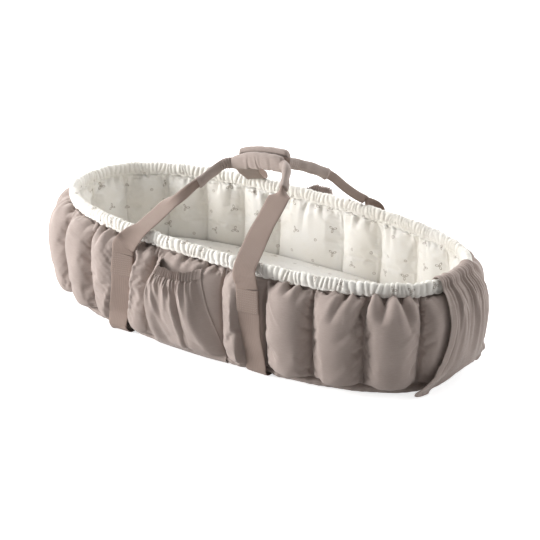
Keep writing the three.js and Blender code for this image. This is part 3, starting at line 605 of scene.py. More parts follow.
def hidden_side(knots, reach_of):
    """Rows down the hidden side of a wall's cloth, behind its seams."""
    rows = []
    for share in np.linspace(1, 0, 6):
        seam = through(knots, np.array([share]))[0]
        rows.append(beside_oval(outer_run, reach_of(seam[0]), seam[1] * neck_at(outer_run) / NECK_HEIGHT))
    return rows


coarse_run, coarse_share = wall_columns(1)
outer_run, outer_share = wall_columns(4)
at = np.linspace(0, 1, WALL_ROWS)
at = at + ROW_CROWDING * np.sin(math.pi * at)
reach, height = outer_wall(coarse_run, coarse_share, at)
outer = beside_oval(coarse_run[None, :], reach, height)
outer_sewn = sewn_threads(outer)
outer_sewn[beyond_straps(coarse_run[None, :], height) < 0.004] = True
outer = blown_up(outer, outer_sewn, 1 - hidden_wall(coarse_run[None, :], height), **SHELL_AIR)
outer = refined(outer)
outward = facing(outer, True)
run_grid = np.broadcast_to(outer_run[None, :], outer.shape[:2])
loose = ease(beyond_straps(run_grid, outer[..., 2]) / 0.01) * (1 - hidden_wall(run_grid, outer[..., 2]))
foot_pull = 1 + 0.7 * ease((oval_at(outer_run)[0] - 0.1) / 0.15)[None, :]
top_folds, low_folds, pulled, from_foot, to_top = skin_folds(outer, **SHELL_FOLDS)
folded = top_folds * foot_pull + low_folds + pulled * bulge(outer_share, 0.4) * ease(to_top / 0.02)
outer = outer + outward * (folded * loose)[..., None]
inside = hidden_side(OUTER_SEAM, lambda reach: max(reach - 0.0006, SEAM_GAP))
shell = cloth("outer_shell_dressed", np.concatenate([outer, inside, outer[:1]]), taupe_cotton)
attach(shell, "root")
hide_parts("outer_shell", *[f"wadding_roll_{number:02d}" for number in range(1, 23)])

# The lining is one long band of printed cream cotton, sewn to the outer shell in the same seams. It faces the
# infant, puffs inwards between its seams, and is gathered into the casing above and sewn to the floor below.
LINING_CREST = [(-2.6, 18.6), (-3.7, 24), (-4.4, 45), (-4.6, 85), (-4.8, 125), (-4.2, 148), (-3.2, 160)]
LINING_CREST += [(-2.3, 166), (-1.9, 168), (-1.9, 173)]
LINING_SEAM = [(0.6, 18.6), (2.0, 30), (5.6, 57), (8.6, 90), (8.9, 115), (6.2, 142), (2.4, 158)]
LINING_SEAM += [(-0.4, 165), (-1.7, 168), (-1.9, 173)]
LINING_THICK = 0.0014
MATTRESS_LEVEL = 0.068
CREAM = (0.930, 0.915, 0.880)
CREAM_SHADE = (0.885, 0.852, 0.790)
PRINT_BROWN = (0.30, 0.245, 0.20, 1)
PRINT_SPACING = 0.042
PETAL_AWAY = 0.0038
PETAL_LONG = 0.0027
PETAL_WIDE = 0.0015
RING_ROUND = 0.0023
RING_LINE = 0.0004
DOT_ROUND = 0.0007
LINING_AIR = {"pressure": 2.0, "spare": 0.025, "most": 0.0045}
LINING_FOLDS = {
    "top": (80, 0.0042, 0.046, 0.0040), "fine": (160, 0.0016, 0.016, 0.0024),
    "low": (90, 0.0010, 0.02, 0.004), "drawn": (5, 0.0020), "slack": 0.0005,
}


def printed_cotton(name, light, shade):
    """Cream cotton with a scattered print of three-petalled sprigs and small dotted rings."""
    made = cotton(name, light, shade, 0.1)
    tree = made.node_tree
    shader = tree.nodes["Principled BSDF"]
    ground = shader.inputs["Base Color"].links[0].from_socket
    place = tree.nodes["Texture Coordinate"].outputs["UV"]
    wanted = {"Vector": place, "Scale": 1 / PRINT_SPACING, "Randomness": 0.62}
    cells = node(tree, "ShaderNodeTexVoronoi", wanted, voronoi_dimensions="2D")
    ends = {0: place, 1: cells.outputs["Position"]}
    offset = node(tree, "ShaderNodeVectorMath", ends, operation="SUBTRACT")
    pick = node(tree, "ShaderNodeSeparateColor", {0: cells.outputs["Color"]})
    angle = maths(tree, "MULTIPLY", pick.outputs[0], 2 * math.pi)
    wanted = {"Vector": offset.outputs[0], "Angle": angle}
    turned = node(tree, "ShaderNodeVectorRotate", wanted, rotation_type="Z_AXIS")
    flat = node(tree, "ShaderNodeSeparateXYZ", {0: turned.outputs[0]})
    x, y = flat.outputs[0], flat.outputs[1]
    length = node(tree, "ShaderNodeVectorMath", {0: turned.outputs[0]}, operation="LENGTH").outputs["Value"]
    bearing = maths(tree, "ARCTAN2", y, x)
    petal = maths(tree, "WRAP", bearing, math.pi / 3, -math.pi / 3)
    along = maths(tree, "MULTIPLY", length, maths(tree, "COSINE", petal))
    aside = maths(tree, "MULTIPLY", length, maths(tree, "SINE", petal))
    long = maths(tree, "DIVIDE", maths(tree, "SUBTRACT", along, PETAL_AWAY), PETAL_LONG)
    wide = maths(tree, "DIVIDE", aside, PETAL_WIDE)
    oval = maths(tree, "ADD", maths(tree, "POWER", long, 2.0), maths(tree, "POWER", wide, 2.0))
    petal_line = maths(tree, "COMPARE", maths(tree, "SQRT", oval), 1.0, 0.27)
    ring_line = maths(tree, "COMPARE", length, RING_ROUND, RING_LINE)
    dot = maths(tree, "LESS_THAN", length, DOT_ROUND)
    ring = maths(tree, "MAXIMUM", ring_line, dot)
    kind = maths(tree, "GREATER_THAN", pick.outputs[1], 0.4)
    motif = node(tree, "ShaderNodeMix", {0: kind, 2: ring, 3: petal_line}).outputs[0]
    ink = maths(tree, "MULTIPLY", motif, 0.82)
    tree.links.new(mixed(tree, ink, ground, PRINT_BROWN), shader.inputs["Base Color"])
    return made


lining_cotton = printed_cotton("lining_cotton", CREAM, CREAM_SHADE)
reach, height = wall_section(LINING_CREST, LINING_SEAM, coarse_run, coarse_share, at)
inner = beside_oval(coarse_run[None, :], reach, height)
inner_sewn = sewn_threads(inner)
inner = inner[:, ::-1]
free = ease((inner[..., 2] - MATTRESS_LEVEL + 0.01) / 0.03)
inner = blown_up(inner, inner_sewn[:, ::-1], free[:, ::-1], **LINING_AIR)[:, ::-1]
inner = refined(inner)
inward = -facing(inner, True)
top_folds, low_folds, pulled, from_foot, to_top = skin_folds(inner, **LINING_FOLDS)
clear = 0.25 + 0.75 * ease((inner[..., 2] - MATTRESS_LEVEL) / 0.02)
folded = (top_folds + low_folds + pulled * bulge(outer_share, 0.3)) * clear
inner = inner + inward * folded[..., None]
back = hidden_side(LINING_SEAM, lambda reach: reach + LINING_THICK)
lining_prints = np.stack([run_grid, from_foot], axis=-1)
lining_prints = np.concatenate([lining_prints, np.repeat(lining_prints[-1:], 7, axis=0)])
lining = cloth("inner_lining_dressed", np.concatenate([inner, back, inner[:1]]), lining_cotton, lining_prints)
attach(lining, "root")
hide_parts("inner_lining")

# The floor is a plain sheet of the lining's cotton, sewn to its lower edge all round. The mattress hides it.
FLOOR_INSET = 0.0049
FLOOR_THICK = 0.0009
floor_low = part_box("inner_floor")[0]
shares = np.linspace(0, 1, 14)
levels = (floor_low[2], floor_low[2] + FLOOR_THICK)
floor_rows = [beside_oval(base_run, -FLOOR_INSET * share, levels[0], share) for share in shares]
floor_rows += [beside_oval(base_run, -FLOOR_INSET * share, levels[1], share) for share in shares[::-1]]
floor_sheet = cloth("inner_floor_dressed", np.array(floor_rows), lining_cotton)
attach(floor_sheet, "root")
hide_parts("inner_floor")

# The mattress is a foam core in a zipped cover of the printed cotton. A piped seam runs round its upper and
# its lower edge, the cover is a little loose on top, and its zip is at the foot end.
MATTRESS_INSET = 0.0074
MATTRESS_ROUND = 0.008
MATTRESS_CROWN = 0.0055
PIPING = 0.0011
MATTRESS_WRINKLES = 0.0011
mattress_low, mattress_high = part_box("mattress_cover")
mattress_foot = mattress_low[2]
mattress_edge = mattress_high[2] - 0.006
mattress_run = np.linspace(0, OVAL_RUN, 901)


def loose_cover(points, size):
    """Small soft wrinkles over a flat cover, as a sum of slow waves."""
    waves = np.zeros(points.shape[:-1])
    for _ in range(26):
        heading = random.uniform(0, 2 * math.pi)
        length = random.uniform(0.03, 0.16)
        shift = random.uniform(0, 2 * math.pi)
        along = points[..., 0] * math.cos(heading) + points[..., 1] * math.sin(heading)
        waves += np.sin(2 * math.pi * along / length + shift) * length / 0.16
    return size * waves / 4


def mattress_corner(angle, edge, way):
    """A row where the side turns in under the top (1) or over the bottom (-1), with the piping on it."""
    piped = PIPING * hump(angle - 0.25 * math.pi, 0.13)
    reach = -MATTRESS_INSET - MATTRESS_ROUND * (1 - math.cos(angle)) + piped
    lift = edge - way * (MATTRESS_ROUND * (1 - math.sin(angle)) - piped)
    return beside_oval(mattress_run, reach, lift)


mattress_rows = []
for share in np.linspace(0, 1, 46):
    flat = beside_oval(mattress_run, -(MATTRESS_INSET + MATTRESS_ROUND) * share, 0, share)
    crown = MATTRESS_CROWN * (1 - share**2.6)
    wrinkles = loose_cover(flat, MATTRESS_WRINKLES) * ease((1 - share) / 0.12) * ease(share / 0.02)
    flat[:, 2] = mattress_edge + crown + wrinkles
    mattress_rows.append(flat)
for angle in np.linspace(0.5 * math.pi, 0, 10)[1:]:
    mattress_rows.append(mattress_corner(angle, mattress_edge, 1))
side_pucker = 0.0006 * np.sin(mattress_run * 330) * np.sin(mattress_run * 57 + 2)
for share in np.linspace(0, 1, 9)[1:-1]:
    lift = mattress_edge - MATTRESS_ROUND - share * (mattress_edge - mattress_foot - 2 * MATTRESS_ROUND)
    mattress_rows.append(beside_oval(mattress_run, -MATTRESS_INSET + side_pucker, lift))
for angle in np.linspace(0, 0.5 * math.pi, 10):
    mattress_rows.append(mattress_corner(angle, mattress_foot, -1))
for share in np.linspace(1, 0, 8)[1:]:
    reach = -(MATTRESS_INSET + MATTRESS_ROUND) * share
    mattress_rows.append(beside_oval(mattress_run, reach, mattress_foot, share))
mattress_points = np.array(mattress_rows)
mattress = cloth("mattress_dressed", mattress_points, lining_cotton, mattress_points[..., :2])
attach(mattress, "mattress")
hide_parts("mattress_cover", "mattress_core")


def fine_grained(name, colour, grains, detail, dark, strength, distance, roughness):
    """One colour with a fine grain, which is darker in its dips. Grains says how many lie in a metre."""
    made, tree, shader, place = new_material(name)
    grain = speckle(tree, place.outputs["Object"], grains, detail)
    tone = mixed(tree, grain, (*[dark * part for part in colour], 1), (*colour, 1))
    tree.links.new(tone, shader.inputs["Base Color"])
    grained(tree, shader, grain, strength, distance, roughness)
    return made


def plastic(name, colour, roughness):
    """Plain moulded or coiled plastic with a faint grain."""
    return fine_grained(name, colour, 900.0, 2.0, 0.86, 0.2, 0.0002, roughness)


def repaint(paint, *names):
    """Give parts of the CAD model that show as they are their paint."""
    for name in names:
        bpy.data.objects[name].data.materials.clear()
        bpy.data.objects[name].data.materials.append(paint)


repaint(plastic("zip_nylon", (0.74, 0.69, 0.60), 0.45), "mattress_zip", "mattress_zip_pull")
repaint(plastic("board_grey", (0.42, 0.39, 0.33), 0.7), "base_board")

# The rim's casing is a folded binding of the cream cotton, stitched over both skins. The elastic inside
# gathers it, so it stands in uneven pleats with a scalloped edge, and a short frill shows below its stitches.
CASING_SIDE = [(4.9, -9.8), (5.7, -8.4), (4.8, -6.8), (5.7, -3.8), (6.1, -0.5), (5.8, 3.0), (4.8, 6.2)]
CASING_SIDE += [(2.9, 8.8)]
CASING_WALL = 0.0011
CASING_STITCHES = -0.0068
CASING_COLUMNS = 1440
PLEAT_SPACING = 0.0088
PLEAT_DEPTH = 0.0021
casing_run = np.linspace(0, OVAL_RUN, CASING_COLUMNS + 1)


def pleats(run, spacing):
    """Rounded ridges with sharp valleys between them, unevenly spaced around the nest, from -1 to 1."""
    count = round(OVAL_RUN / spacing)
    steps = random.uniform(0.55, 1.45, count)
    edges = running(steps) * OVAL_RUN / steps.sum()
    tall = random.uniform(0.4, 1, count + 1)
    tall[-1] = tall[0]
    where = np.mod(run, OVAL_RUN)
    phase = np.interp(where, edges, np.arange(count + 1))
    return np.interp(where, edges, tall) * (2 * np.abs(np.sin(math.pi * phase)) ** 0.6 - 1)


def round_wave(count):
    """A wave with so many crests round the rim."""
    return np.sin(casing_run * 2 * math.pi * count / OVAL_RUN)


side = np.array(CASING_SIDE) * MILLIMETRE
half = np.concatenate([side, [[0, 0.0099]], side[::-1] * (-1, 1)])
casing_at = np.linspace(0, 1, 27)
profile = through(half / MILLIMETRE, casing_at)
tangent = np.gradient(profile, axis=0)
square_out = np.stack([tangent[:, 1], -tangent[:, 0]], axis=1)
square_out /= np.linalg.norm(square_out, axis=1, keepdims=True)
lean = 0.004 * round_wave(23) + 0.003 * round_wave(61)
slanting = np.array([casing_run + lean * level * 60 for level in profile[:, 1]])
outer_pleats = pleats(slanting, PLEAT_SPACING)
inner_pleats = pleats(slanting, PLEAT_SPACING * 0.9)
hem_pleats = pleats(slanting, PLEAT_SPACING * 1.4)
across = np.linspace(1, -1, len(casing_at))[:, None]
outside = ease(0.5 + 1.6 * across)
pleated = outer_pleats * outside + inner_pleats * (1 - outside)
stitched = hump(profile[:, 1] - CASING_STITCHES, 0.0015)[:, None]
below = ease((-profile[:, 1] - 0.0069) / 0.0018)[:, None]
above = ease((profile[:, 1] - 0.004) / 0.006)[:, None]
swing = PLEAT_DEPTH * (pleated * (1 - 0.75 * stitched) * (1 - below) + 0.9 * hem_pleats * below)
swing = swing * (1 + 0.35 * above)
face = profile[:, None, :] + square_out[:, None, :] * swing[..., None]
inner_face = face - square_out[:, None, :] * CASING_WALL
loop = np.concatenate([face, inner_face[::-1], face[:1]])
rim_height = neck_at(casing_run) + NECK_BELOW_RIM + 0.0007 * round_wave(37)
casing_points = beside_oval(casing_run[None, :], loop[..., 0], loop[..., 1] + rim_height[None, :])
casing_cotton = printed_cotton("casing_cotton", (0.91, 0.885, 0.835), (0.87, 0.835, 0.765))
casing = cloth("rim_casing_dressed", casing_points, casing_cotton)
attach(casing, "root")
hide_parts("rim_casing", "rim_elastic")

# Two cradle straps of ribbed cotton webbing run up the front wall, under the base and up the rear wall. They
# are sewn through the outer shell down both edges, and they pull the padded wall in.
WEBBING_THICK = 0.0018
WEBBING_BROWN = (0.300, 0.222, 0.185)
WEBBING_SHADE = (0.235, 0.171, 0.141)
BASE_KNOTS = [(0, 1.2), (60, 1.2), (120, 1.2), (156, 1.25), (164.5, 1.7), (169.2, 4.4)]
WALL_LEVELS = (0.010, 0.018, 0.036, 0.055, 0.080, 0.108, 0.130, 0.1518)


def webbing(name, light, shade):
    """Ribbed cotton webbing: fine ribs along it, a slanting twill across them, and firm woven edges."""
    made, tree, shader, place = new_material(name)
    flat = place.outputs["UV"]
    rib = threads(tree, flat, 130.0, "X")
    twill = threads(tree, stretched(tree, flat, (1, 1, 1), 0.9), 240.0, "X")
    cloud = speckle(tree, place.outputs["Object"], 22.0, 3.0)
    tone = maths(tree, "MULTIPLY_ADD", twill, 0.35, maths(tree, "MULTIPLY", cloud, 0.9))
    tinted(tree, shader, tone, (0.35, 0.95), shade, light, rib, 0.16)
    raised = maths(tree, "MULTIPLY_ADD", rib, 0.6, maths(tree, "MULTIPLY", twill, 0.5))
    grained(tree, shader, raised, 0.5, 0.0005, 0.75)
    shader.inputs["Sheen Weight"].default_value = 0.12
    return made


def unit(vectors):
    """The same directions, each with a length of 1."""
    return vectors / np.maximum(np.linalg.norm(vectors, axis=-1, keepdims=True), 1e-12)


def read_off(at, places, rows):
    """Rows of values, read off at places between their own."""
    return np.stack([np.interp(at, places, column) for column in np.transpose(rows)], axis=-1)


def smooth_path(knots, count):
    """A smooth line through knots in metres, as evenly spaced points."""
    fine = through(np.array(knots) / MILLIMETRE, np.linspace(0, 1, 40 * len(knots)))
    length = lengths_along(fine)
    return read_off(np.linspace(0, length[-1], count), length, fine)


def both_faces(face, back, middle):
    """Both faces of a cloth as one grid that closes on itself, with its two ends closed on its middle."""
    loop = np.concatenate([face, back[::-1], face[:1]])
    edges = np.concatenate([middle, middle[::-1], middle[:1]])
    return np.concatenate([edges[:, :1], loop, edges[:, -1:]], axis=1)


def webbing_half(side):
    """Half the thickness of webbing across its width, from -0.5 to 0.5. It thins out at its woven edges."""
    return 0.5 * WEBBING_THICK * np.sqrt(1 - 0.97 * np.abs(2 * side) ** 10)[:, None, None]


def band(path, level, count=13):
    """Both faces of flat webbing, from its middle line and the directions across it."""
    side = np.linspace(-0.5, 0.5, count)
    side = np.sign(side) * 0.5 * (1 - (1 - np.abs(2 * side)) ** 1.5)
    normal = unit(np.cross(unit(np.gradient(path, axis=0)), level))
    middle = path + level * (side * WEBBING_WIDTH)[:, None, None]
    return both_faces(middle + normal * webbing_half(side), middle - normal * webbing_half(side), middle)


def square_to(path, level):
    """The directions across a path that lie nearest the given ones."""
    travel = unit(np.gradient(path, axis=0))
    return unit(level - travel * np.sum(level * travel, axis=1, keepdims=True))


def webbed(name, points, path):
    """A piece of brown webbing. Its UV map runs across it and along it, in metres."""
    length = lengths_along(path)
    along = np.concatenate([length[:1], length, length[-1:]])
    half = (len(points) - 1) // 2
    share = np.concatenate([np.linspace(0, 1, half), np.linspace(1, 0, half), [0]])
    prints = np.stack(np.meshgrid(share * WEBBING_WIDTH, along, indexing="ij"), axis=-1)
    return cloth(name + "_dressed", points, brown_webbing, prints)


def wall_line(x, side, levels, stand):
    """Points up a wall on the middle line of a strap, at a distance outside the strap's inner face."""
    points = []
    for level in levels:
        middle = strap_middle(x, level)
        at_x, at_y, out_x, out_y = (float(part) for part in oval_at(wall_run(middle, side)))
        plane = float(strap_plane(level) - strap_sink(middle, level)) + stand
        points.append((at_x + out_x * (plane - abs(at_y)) / abs(out_y), side * plane, level))
    return points


def strap_across(x, path):
    """The directions across a strap along its middle line. They point headwards."""
    lean = strap_lean(x, path[:, 2]) * ease(path[:, 2] / 0.01)
    ways = [-np.ones(len(path)), np.sign(path[:, 1]) * lean, np.zeros(len(path))]
    return square_to(path, np.stack(ways, axis=1))


brown_webbing = webbing("brown_webbing", WEBBING_BROWN, WEBBING_SHADE)
for name, x in (("cradle_strap_head", HEAD_STRAP_X), ("cradle_strap_foot", FOOT_STRAP_X)):
    front = wall_line(x, -1, WALL_LEVELS, 0.5 * WEBBING_THICK)[::-1]
    rear = wall_line(x, 1, WALL_LEVELS, 0.5 * WEBBING_THICK)
    under = [(strap_middle(x, 0), y * MILLIMETRE, z * MILLIMETRE) for y, z in BASE_KNOTS]
    knots = front + [(x, -y, z) for x, y, z in under[::-1]] + under[1:] + rear
    path = smooth_path(knots, 420)
    strap = webbed(name, band(path, strap_across(x, path)), path)
    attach(strap, "root")
    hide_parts(name)

# Each handle is one length of webbing that ends in two tabs, sewn flat on the cradle straps with a box of
# close zigzag rows. Above the tabs it is free. It is folded in half lengthwise in the grip, and between the
# grip and the fold's end each leg runs in a narrow padded tube of the outer cloth.
TAB_GAP = 0.0003
HINGE_HEIGHT = 0.152
GRIP_X = -0.001
GRIP_HEIGHT = 0.282
GRIP_LENGTH = 0.106
GRIP_RISE = 0.014
GRIP_GAP = 0.014
GRIP_TILT = math.atan2(GRIP_RISE, GRIP_LENGTH)
FOLDED_NARROWER = 0.16
GRIP_ARCH = ((-1, -0.6, -0.2, 0.3, 0.7, 1), (1.5, 5.5, 8, 8, 6.5, 4))
LEG_POINTS = {
    ("front", -1): [(-132, -187, 175), (-125.5, -180, 185), (-117, -165, 196.5), (-109.5, -133, 213),
                    (-100.5, -100, 233), (-90, -76, 244)],
    ("front", 1): [(105, -187.5, 174.5), (101.5, -180, 184), (97.5, -166, 193), (90.7, -144, 203),
                   (83.7, -111, 223.5), (82, -87, 240), (80, -66, 255)],
    ("rear", -1): [(-135.5, 186, 175), (-131, 173, 185), (-122, 151, 192), (-109, 118, 211),
                   (-93, 86, 231), (-78, 60, 246)],
    ("rear", 1): [(107.5, 183, 179), (102, 168, 190), (94, 147, 204), (84.6, 119, 227), (79, 97, 247)],
}
KNEES = {
    ("front", -1): (-82, -60, 251), ("front", 1): (77.8, -45, 270),
    ("rear", -1): (-61, 29, 266.5), ("rear", 1): (74, 82, 258),
}
UPPER_POINTS = {
    ("front", -1): [(-71, -36, 266), (-61, -15, 276)], ("front", 1): [(71.5, -31, 281), (60, -14, 292)],
    ("rear", -1): [(-52, 17, 273)], ("rear", 1): [(60, 46, 277.5), (50, 17, 289)],
}
STAYS_FOLDED = {("front", -1): 0.0, ("front", 1): 0.0, ("rear", -1): 0.0, ("rear", 1): 0.105}
UNFOLDS_OVER = {("front", -1): 0.075, ("front", 1): 0.022, ("rear", -1): 0.024, ("rear", 1): 0.04}
GRIP_EXITS = {("front", -1): 0.48, ("front", 1): 0.48, ("rear", -1): 0.41, ("rear", 1): 0.48}
TUBE_WIDE = {("front", -1): 0.0046, ("front", 1): 0.0072, ("rear", -1): 0.0046, ("rear", 1): 0.0046}
TUBE_TALL = 0.0094
TUBE_RUCHED = {("front", -1): 1.0, ("front", 1): 0.3, ("rear", -1): 0.4, ("rear", 1): 0.3}
THREAD_LIGHT = (0.47, 0.39, 0.34)
STITCH_LENGTH = 0.0034
STITCH_THICK = 0.0007
tab_stand = WEBBING_THICK + TAB_GAP + 0.5 * WEBBING_THICK


def grip_arch(station):
    """How far the soft grip arches up over its middle line, at a station from -1 to 1."""
    return np.interp(station, GRIP_ARCH[0], GRIP_ARCH[1]) * MILLIMETRE


def grip_point(along, y, up=0.0):
    """A point by its distance along the grip, its Y and its distance above the grip's middle line."""
    x = GRIP_X + along * math.cos(GRIP_TILT) - up * math.sin(GRIP_TILT)
    return np.array([x, y, GRIP_HEIGHT + along * math.sin(GRIP_TILT) + up * math.cos(GRIP_TILT)])


def grip_mouth(which, end, side):
    """Where a handle's middle line comes out of the grip at one end."""
    along = end * GRIP_EXITS[which, end] * GRIP_LENGTH
    return grip_point(along, 0.5 * side * GRIP_GAP, float(grip_arch(end)))


def leg_knots(which, strap_x, end, side):
    """A leg's middle line, from the wall over the rim and up to the grip."""
    foot = np.array(wall_line(strap_x, side, (HINGE_HEIGHT,), tab_stand)[0]) + (0, 0, 0.0002)
    lean = foot + (-0.15 * end * 0.012, 0.0006 * side, 0.012)
    free = [*LEG_POINTS[which, end], KNEES[which, end], *UPPER_POINTS[which, end]]
    free = [np.array(point) * MILLIMETRE for point in free]
    return [foot, lean, *free, grip_mouth(which, end, side)]


def handle(side):
    """The stations of a handle: its middle line, the way across it, and how far it is folded."""
    which = "front" if side < 0 else "rear"
    head = leg_knots(which, HEAD_STRAP_X, -1, side)
    foot = leg_knots(which, FOOT_STRAP_X, 1, side)
    middle = grip_point(0, 0.5 * side * GRIP_GAP, float(grip_arch(0)))
    path = smooth_path([*head, middle, *foot[::-1]], 460)
    length = lengths_along(path)
    knees = [np.array(KNEES[which, end]) * MILLIMETRE for end in (-1, 1)]
    first, last = (length[np.argmin(np.linalg.norm(path - knee, axis=1))] for knee in knees)
    opening, closing = UNFOLDS_OVER[which, -1], UNFOLDS_OVER[which, 1]
    flat_to = first - STAYS_FOLDED[which, -1] - opening
    flat_from = last + STAYS_FOLDED[which, 1] + closing
    fold = ease((length - flat_to) / opening) * ease((flat_from - length) / closing)
    travel = unit(np.gradient(path, axis=0))
    level = unit(np.stack([-travel[:, 1], travel[:, 0], np.zeros(len(path))], axis=1))
    for start, along in ((0, length), (length[-1], length[-1] - length)):
        wall = 1 - ease((along - 0.03) / 0.05)
        strap = HEAD_STRAP_X if start == 0 else FOOT_STRAP_X
        away = np.array([-1.0, side * float(strap_lean(strap, HINGE_HEIGHT)), 0]) * (1 if start == 0 else -1)
        level = level * (1 - wall)[:, None] + away * wall[:, None]
    return path, square_to(path, level), fold, length, first, last


def folded_band(path, level, fold, count=17):
    """Both faces of webbing whose two halves fold down about its middle line."""
    side = np.linspace(-0.5, 0.5, count)
    width = WEBBING_WIDTH * (1 - FOLDED_NARROWER * fold)
    travel = unit(np.gradient(path, axis=0))
    normal = unit(np.cross(travel, level))
    angle = fold * 0.49 * math.pi
    centre = path + normal * (fold * 0.25 * width)[:, None]
    spread = np.cos(angle)[None, :] * np.abs(side)[:, None] * width
    spread = spread + fold[None, :] * 0.6 * WEBBING_THICK * np.minimum(1, np.abs(side) / 0.06)[:, None]
    drop = np.sin(angle)[None, :] * (np.hypot(side, 0.05) - 0.05)[:, None] * width
    middle = centre + level * (np.sign(side)[:, None] * spread)[..., None] - normal * drop[..., None]
    out = unit(np.cross(travel, np.gradient(middle, axis=0)))
    return both_faces(middle + out * webbing_half(side), middle - out * webbing_half(side), middle)


def oval_tube(path, level, wide, tall, count=28):
    """A closed tube round a line, wide across it and tall upwards, closed at both ends."""
    normal = unit(np.cross(unit(np.gradient(path, axis=0)), level))
    around = np.linspace(0, 2 * math.pi, count + 1)[:, None, None]
    ring = path + level * (np.cos(around) * wide[None, :, None])
    ring = ring + normal * (np.sin(around) * tall[None, :, None])
    return np.concatenate([np.repeat(path[None, :1], count + 1, axis=0), ring,
                           np.repeat(path[None, -1:], count + 1, axis=0)], axis=1)


thread_light = plastic("pale_thread", THREAD_LIGHT, 0.7)


def stitching(name, rows, body, paint):
    """A piece made of rows of stitches. Each stitch is a small rounded thread."""
    made = bmesh.new()
    for points, outward in rows:
        run = lengths_along(points)
        count = max(1, int(run[-1] / STITCH_LENGTH))
        for number in range(count):
            ends = [read_off((number + share) * run[-1] / count, run, points) for share in (0.12, 0.88)]
            out = unit(read_off((number + 0.5) * run[-1] / count, run, outward))
            along = unit(ends[1] - ends[0])
            turned = Matrix((along, np.cross(out, along), out)).transposed()
            long = np.linalg.norm(ends[1] - ends[0])
            size = Matrix.Diagonal((0.5 * long, 0.5 * STITCH_THICK, 0.4 * STITCH_THICK))
            place = Matrix.Translation(Vector(0.5 * (ends[0] + ends[1]))) @ (turned @ size).to_4x4()
            bmesh.ops.create_icosphere(made, subdivisions=1, radius=1, matrix=place)
    piece = placed(name, made, paint)
    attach(piece, body)


TAB_LEVELS = (0.1118, 0.125, 0.138, 0.1518)
TABS = {
    "front_tab_head": (HEAD_STRAP_X, -1), "front_tab_foot": (FOOT_STRAP_X, -1),
    "rear_tab_head": (HEAD_STRAP_X, 1), "rear_tab_foot": (FOOT_STRAP_X, 1),
}
STITCH_LEVELS = np.linspace(0.1142, 0.1496, 10)
for name, (x, side) in TABS.items():
    path = smooth_path(wall_line(x, side, TAB_LEVELS, tab_stand), 50)
    tab = webbed(name, band(path, side * strap_across(x, path)), path)
    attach(tab, "root")
    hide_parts(name)
    rows = []
    out = np.array([0, float(side), 0])
    corners = []
    for z in STITCH_LEVELS:
        middle = read_off(z, path[:, 2], path) + out * (0.5 * WEBBING_THICK + 0.0001)
        tilt = np.array([1.0, -side * float(strap_lean(x, z)), 0])
        ends = [middle + share * WEBBING_WIDTH * unit(tilt) for share in (-0.42, 0.42)]
        rows.append((ends, [out, out]))
        corners.append(ends)
    rows.append(([corners[0][0], corners[-1][0]], [out, out]))
    rows.append(([corners[0][1], corners[-1][1]], [out, out]))
    stitching(name + "_stitches", rows, "root", thread_light)

for which, side in (("front", -1), ("rear", 1)):
    path, level, fold, length, first, last = handle(side)
    name = which + "_handle_webbing"
    webbing_piece = webbed(name, folded_band(path, level, fold), path)
    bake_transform(webbing_piece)
    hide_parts(name)
    for end, leg_name in ((-1, "head"), (1, "foot")):
        knee = first if end < 0 else last
        inside = grip_mouth(which, end, side)
        grip_end = length[np.argmin(np.linalg.norm(path - inside, axis=1))]
        where = np.linspace(knee + end * 0.002, grip_end, 110)
        line = read_off(where, length, path)
        across = unit(read_off(where, length, level))
        away = np.abs(where - where[0])
        to_grip = np.abs(where - grip_end)
        ruched = 0.0008 * np.sin(away * 1300) * ease((0.03 - to_grip) / 0.01)
        ruched = ruched * (1 - ease((0.004 - to_grip) / 0.003)) * TUBE_RUCHED[which, end]
        hem = 0.0006 * (1 - ease((away - 0.004) / 0.0008))
        wide = TUBE_WIDE[which, end] + 0.0006 * np.sin(away * 260 + side) + hem + ruched
        tall = TUBE_TALL + 0.0004 * np.sin(away * 190 + 1) + hem + 0.5 * ruched
        points = oval_tube(line, across, wide, tall)
        tube = cloth(f"{which}_{leg_name}_handle_tube", points, taupe_cotton)
        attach(tube, which + "_handle")

# The grip is a padded sleeve of the outer cloth round the front handle, and a padded leaf on the rear handle
# whose lip closes on the sleeve with two tapes. The sleeve sags at its ends and creases under its middle.
SLEEVE_HALF = 0.5 * GRIP_LENGTH
SLEEVE_DEPTH = 0.0135
SLEEVE_TALL = 0.0285
SLEEVE_TAPER = 0.24
LEAF_OUTLINE = [(9.3, -12.6), (11.7, -13.4), (14.0, -12.6), (14.4, 0), (14.3, 14), (12.6, 19), (8, 20.6)]
LEAF_OUTLINE += [(4.2, 20.2), (3.0, 17.5), (3.0, 12.4), (4.6, 11), (8.4, 11), (9.3, 8.6), (9.2, 0)]
LEAF_OUTLINE += [(9.3, -12.6)]
LEAF_ENDS = (-0.046, 0.053)
SLEEVE_CREASES = ((-0.28, 1.9, 0.05, 0.5), (0.05, 2.6, 0.035, -0.9), (0.17, 1.2, 0.05, -0.5))
SLEEVE_CREASES += ((0.55, 1.3, 0.06, 0.4),)


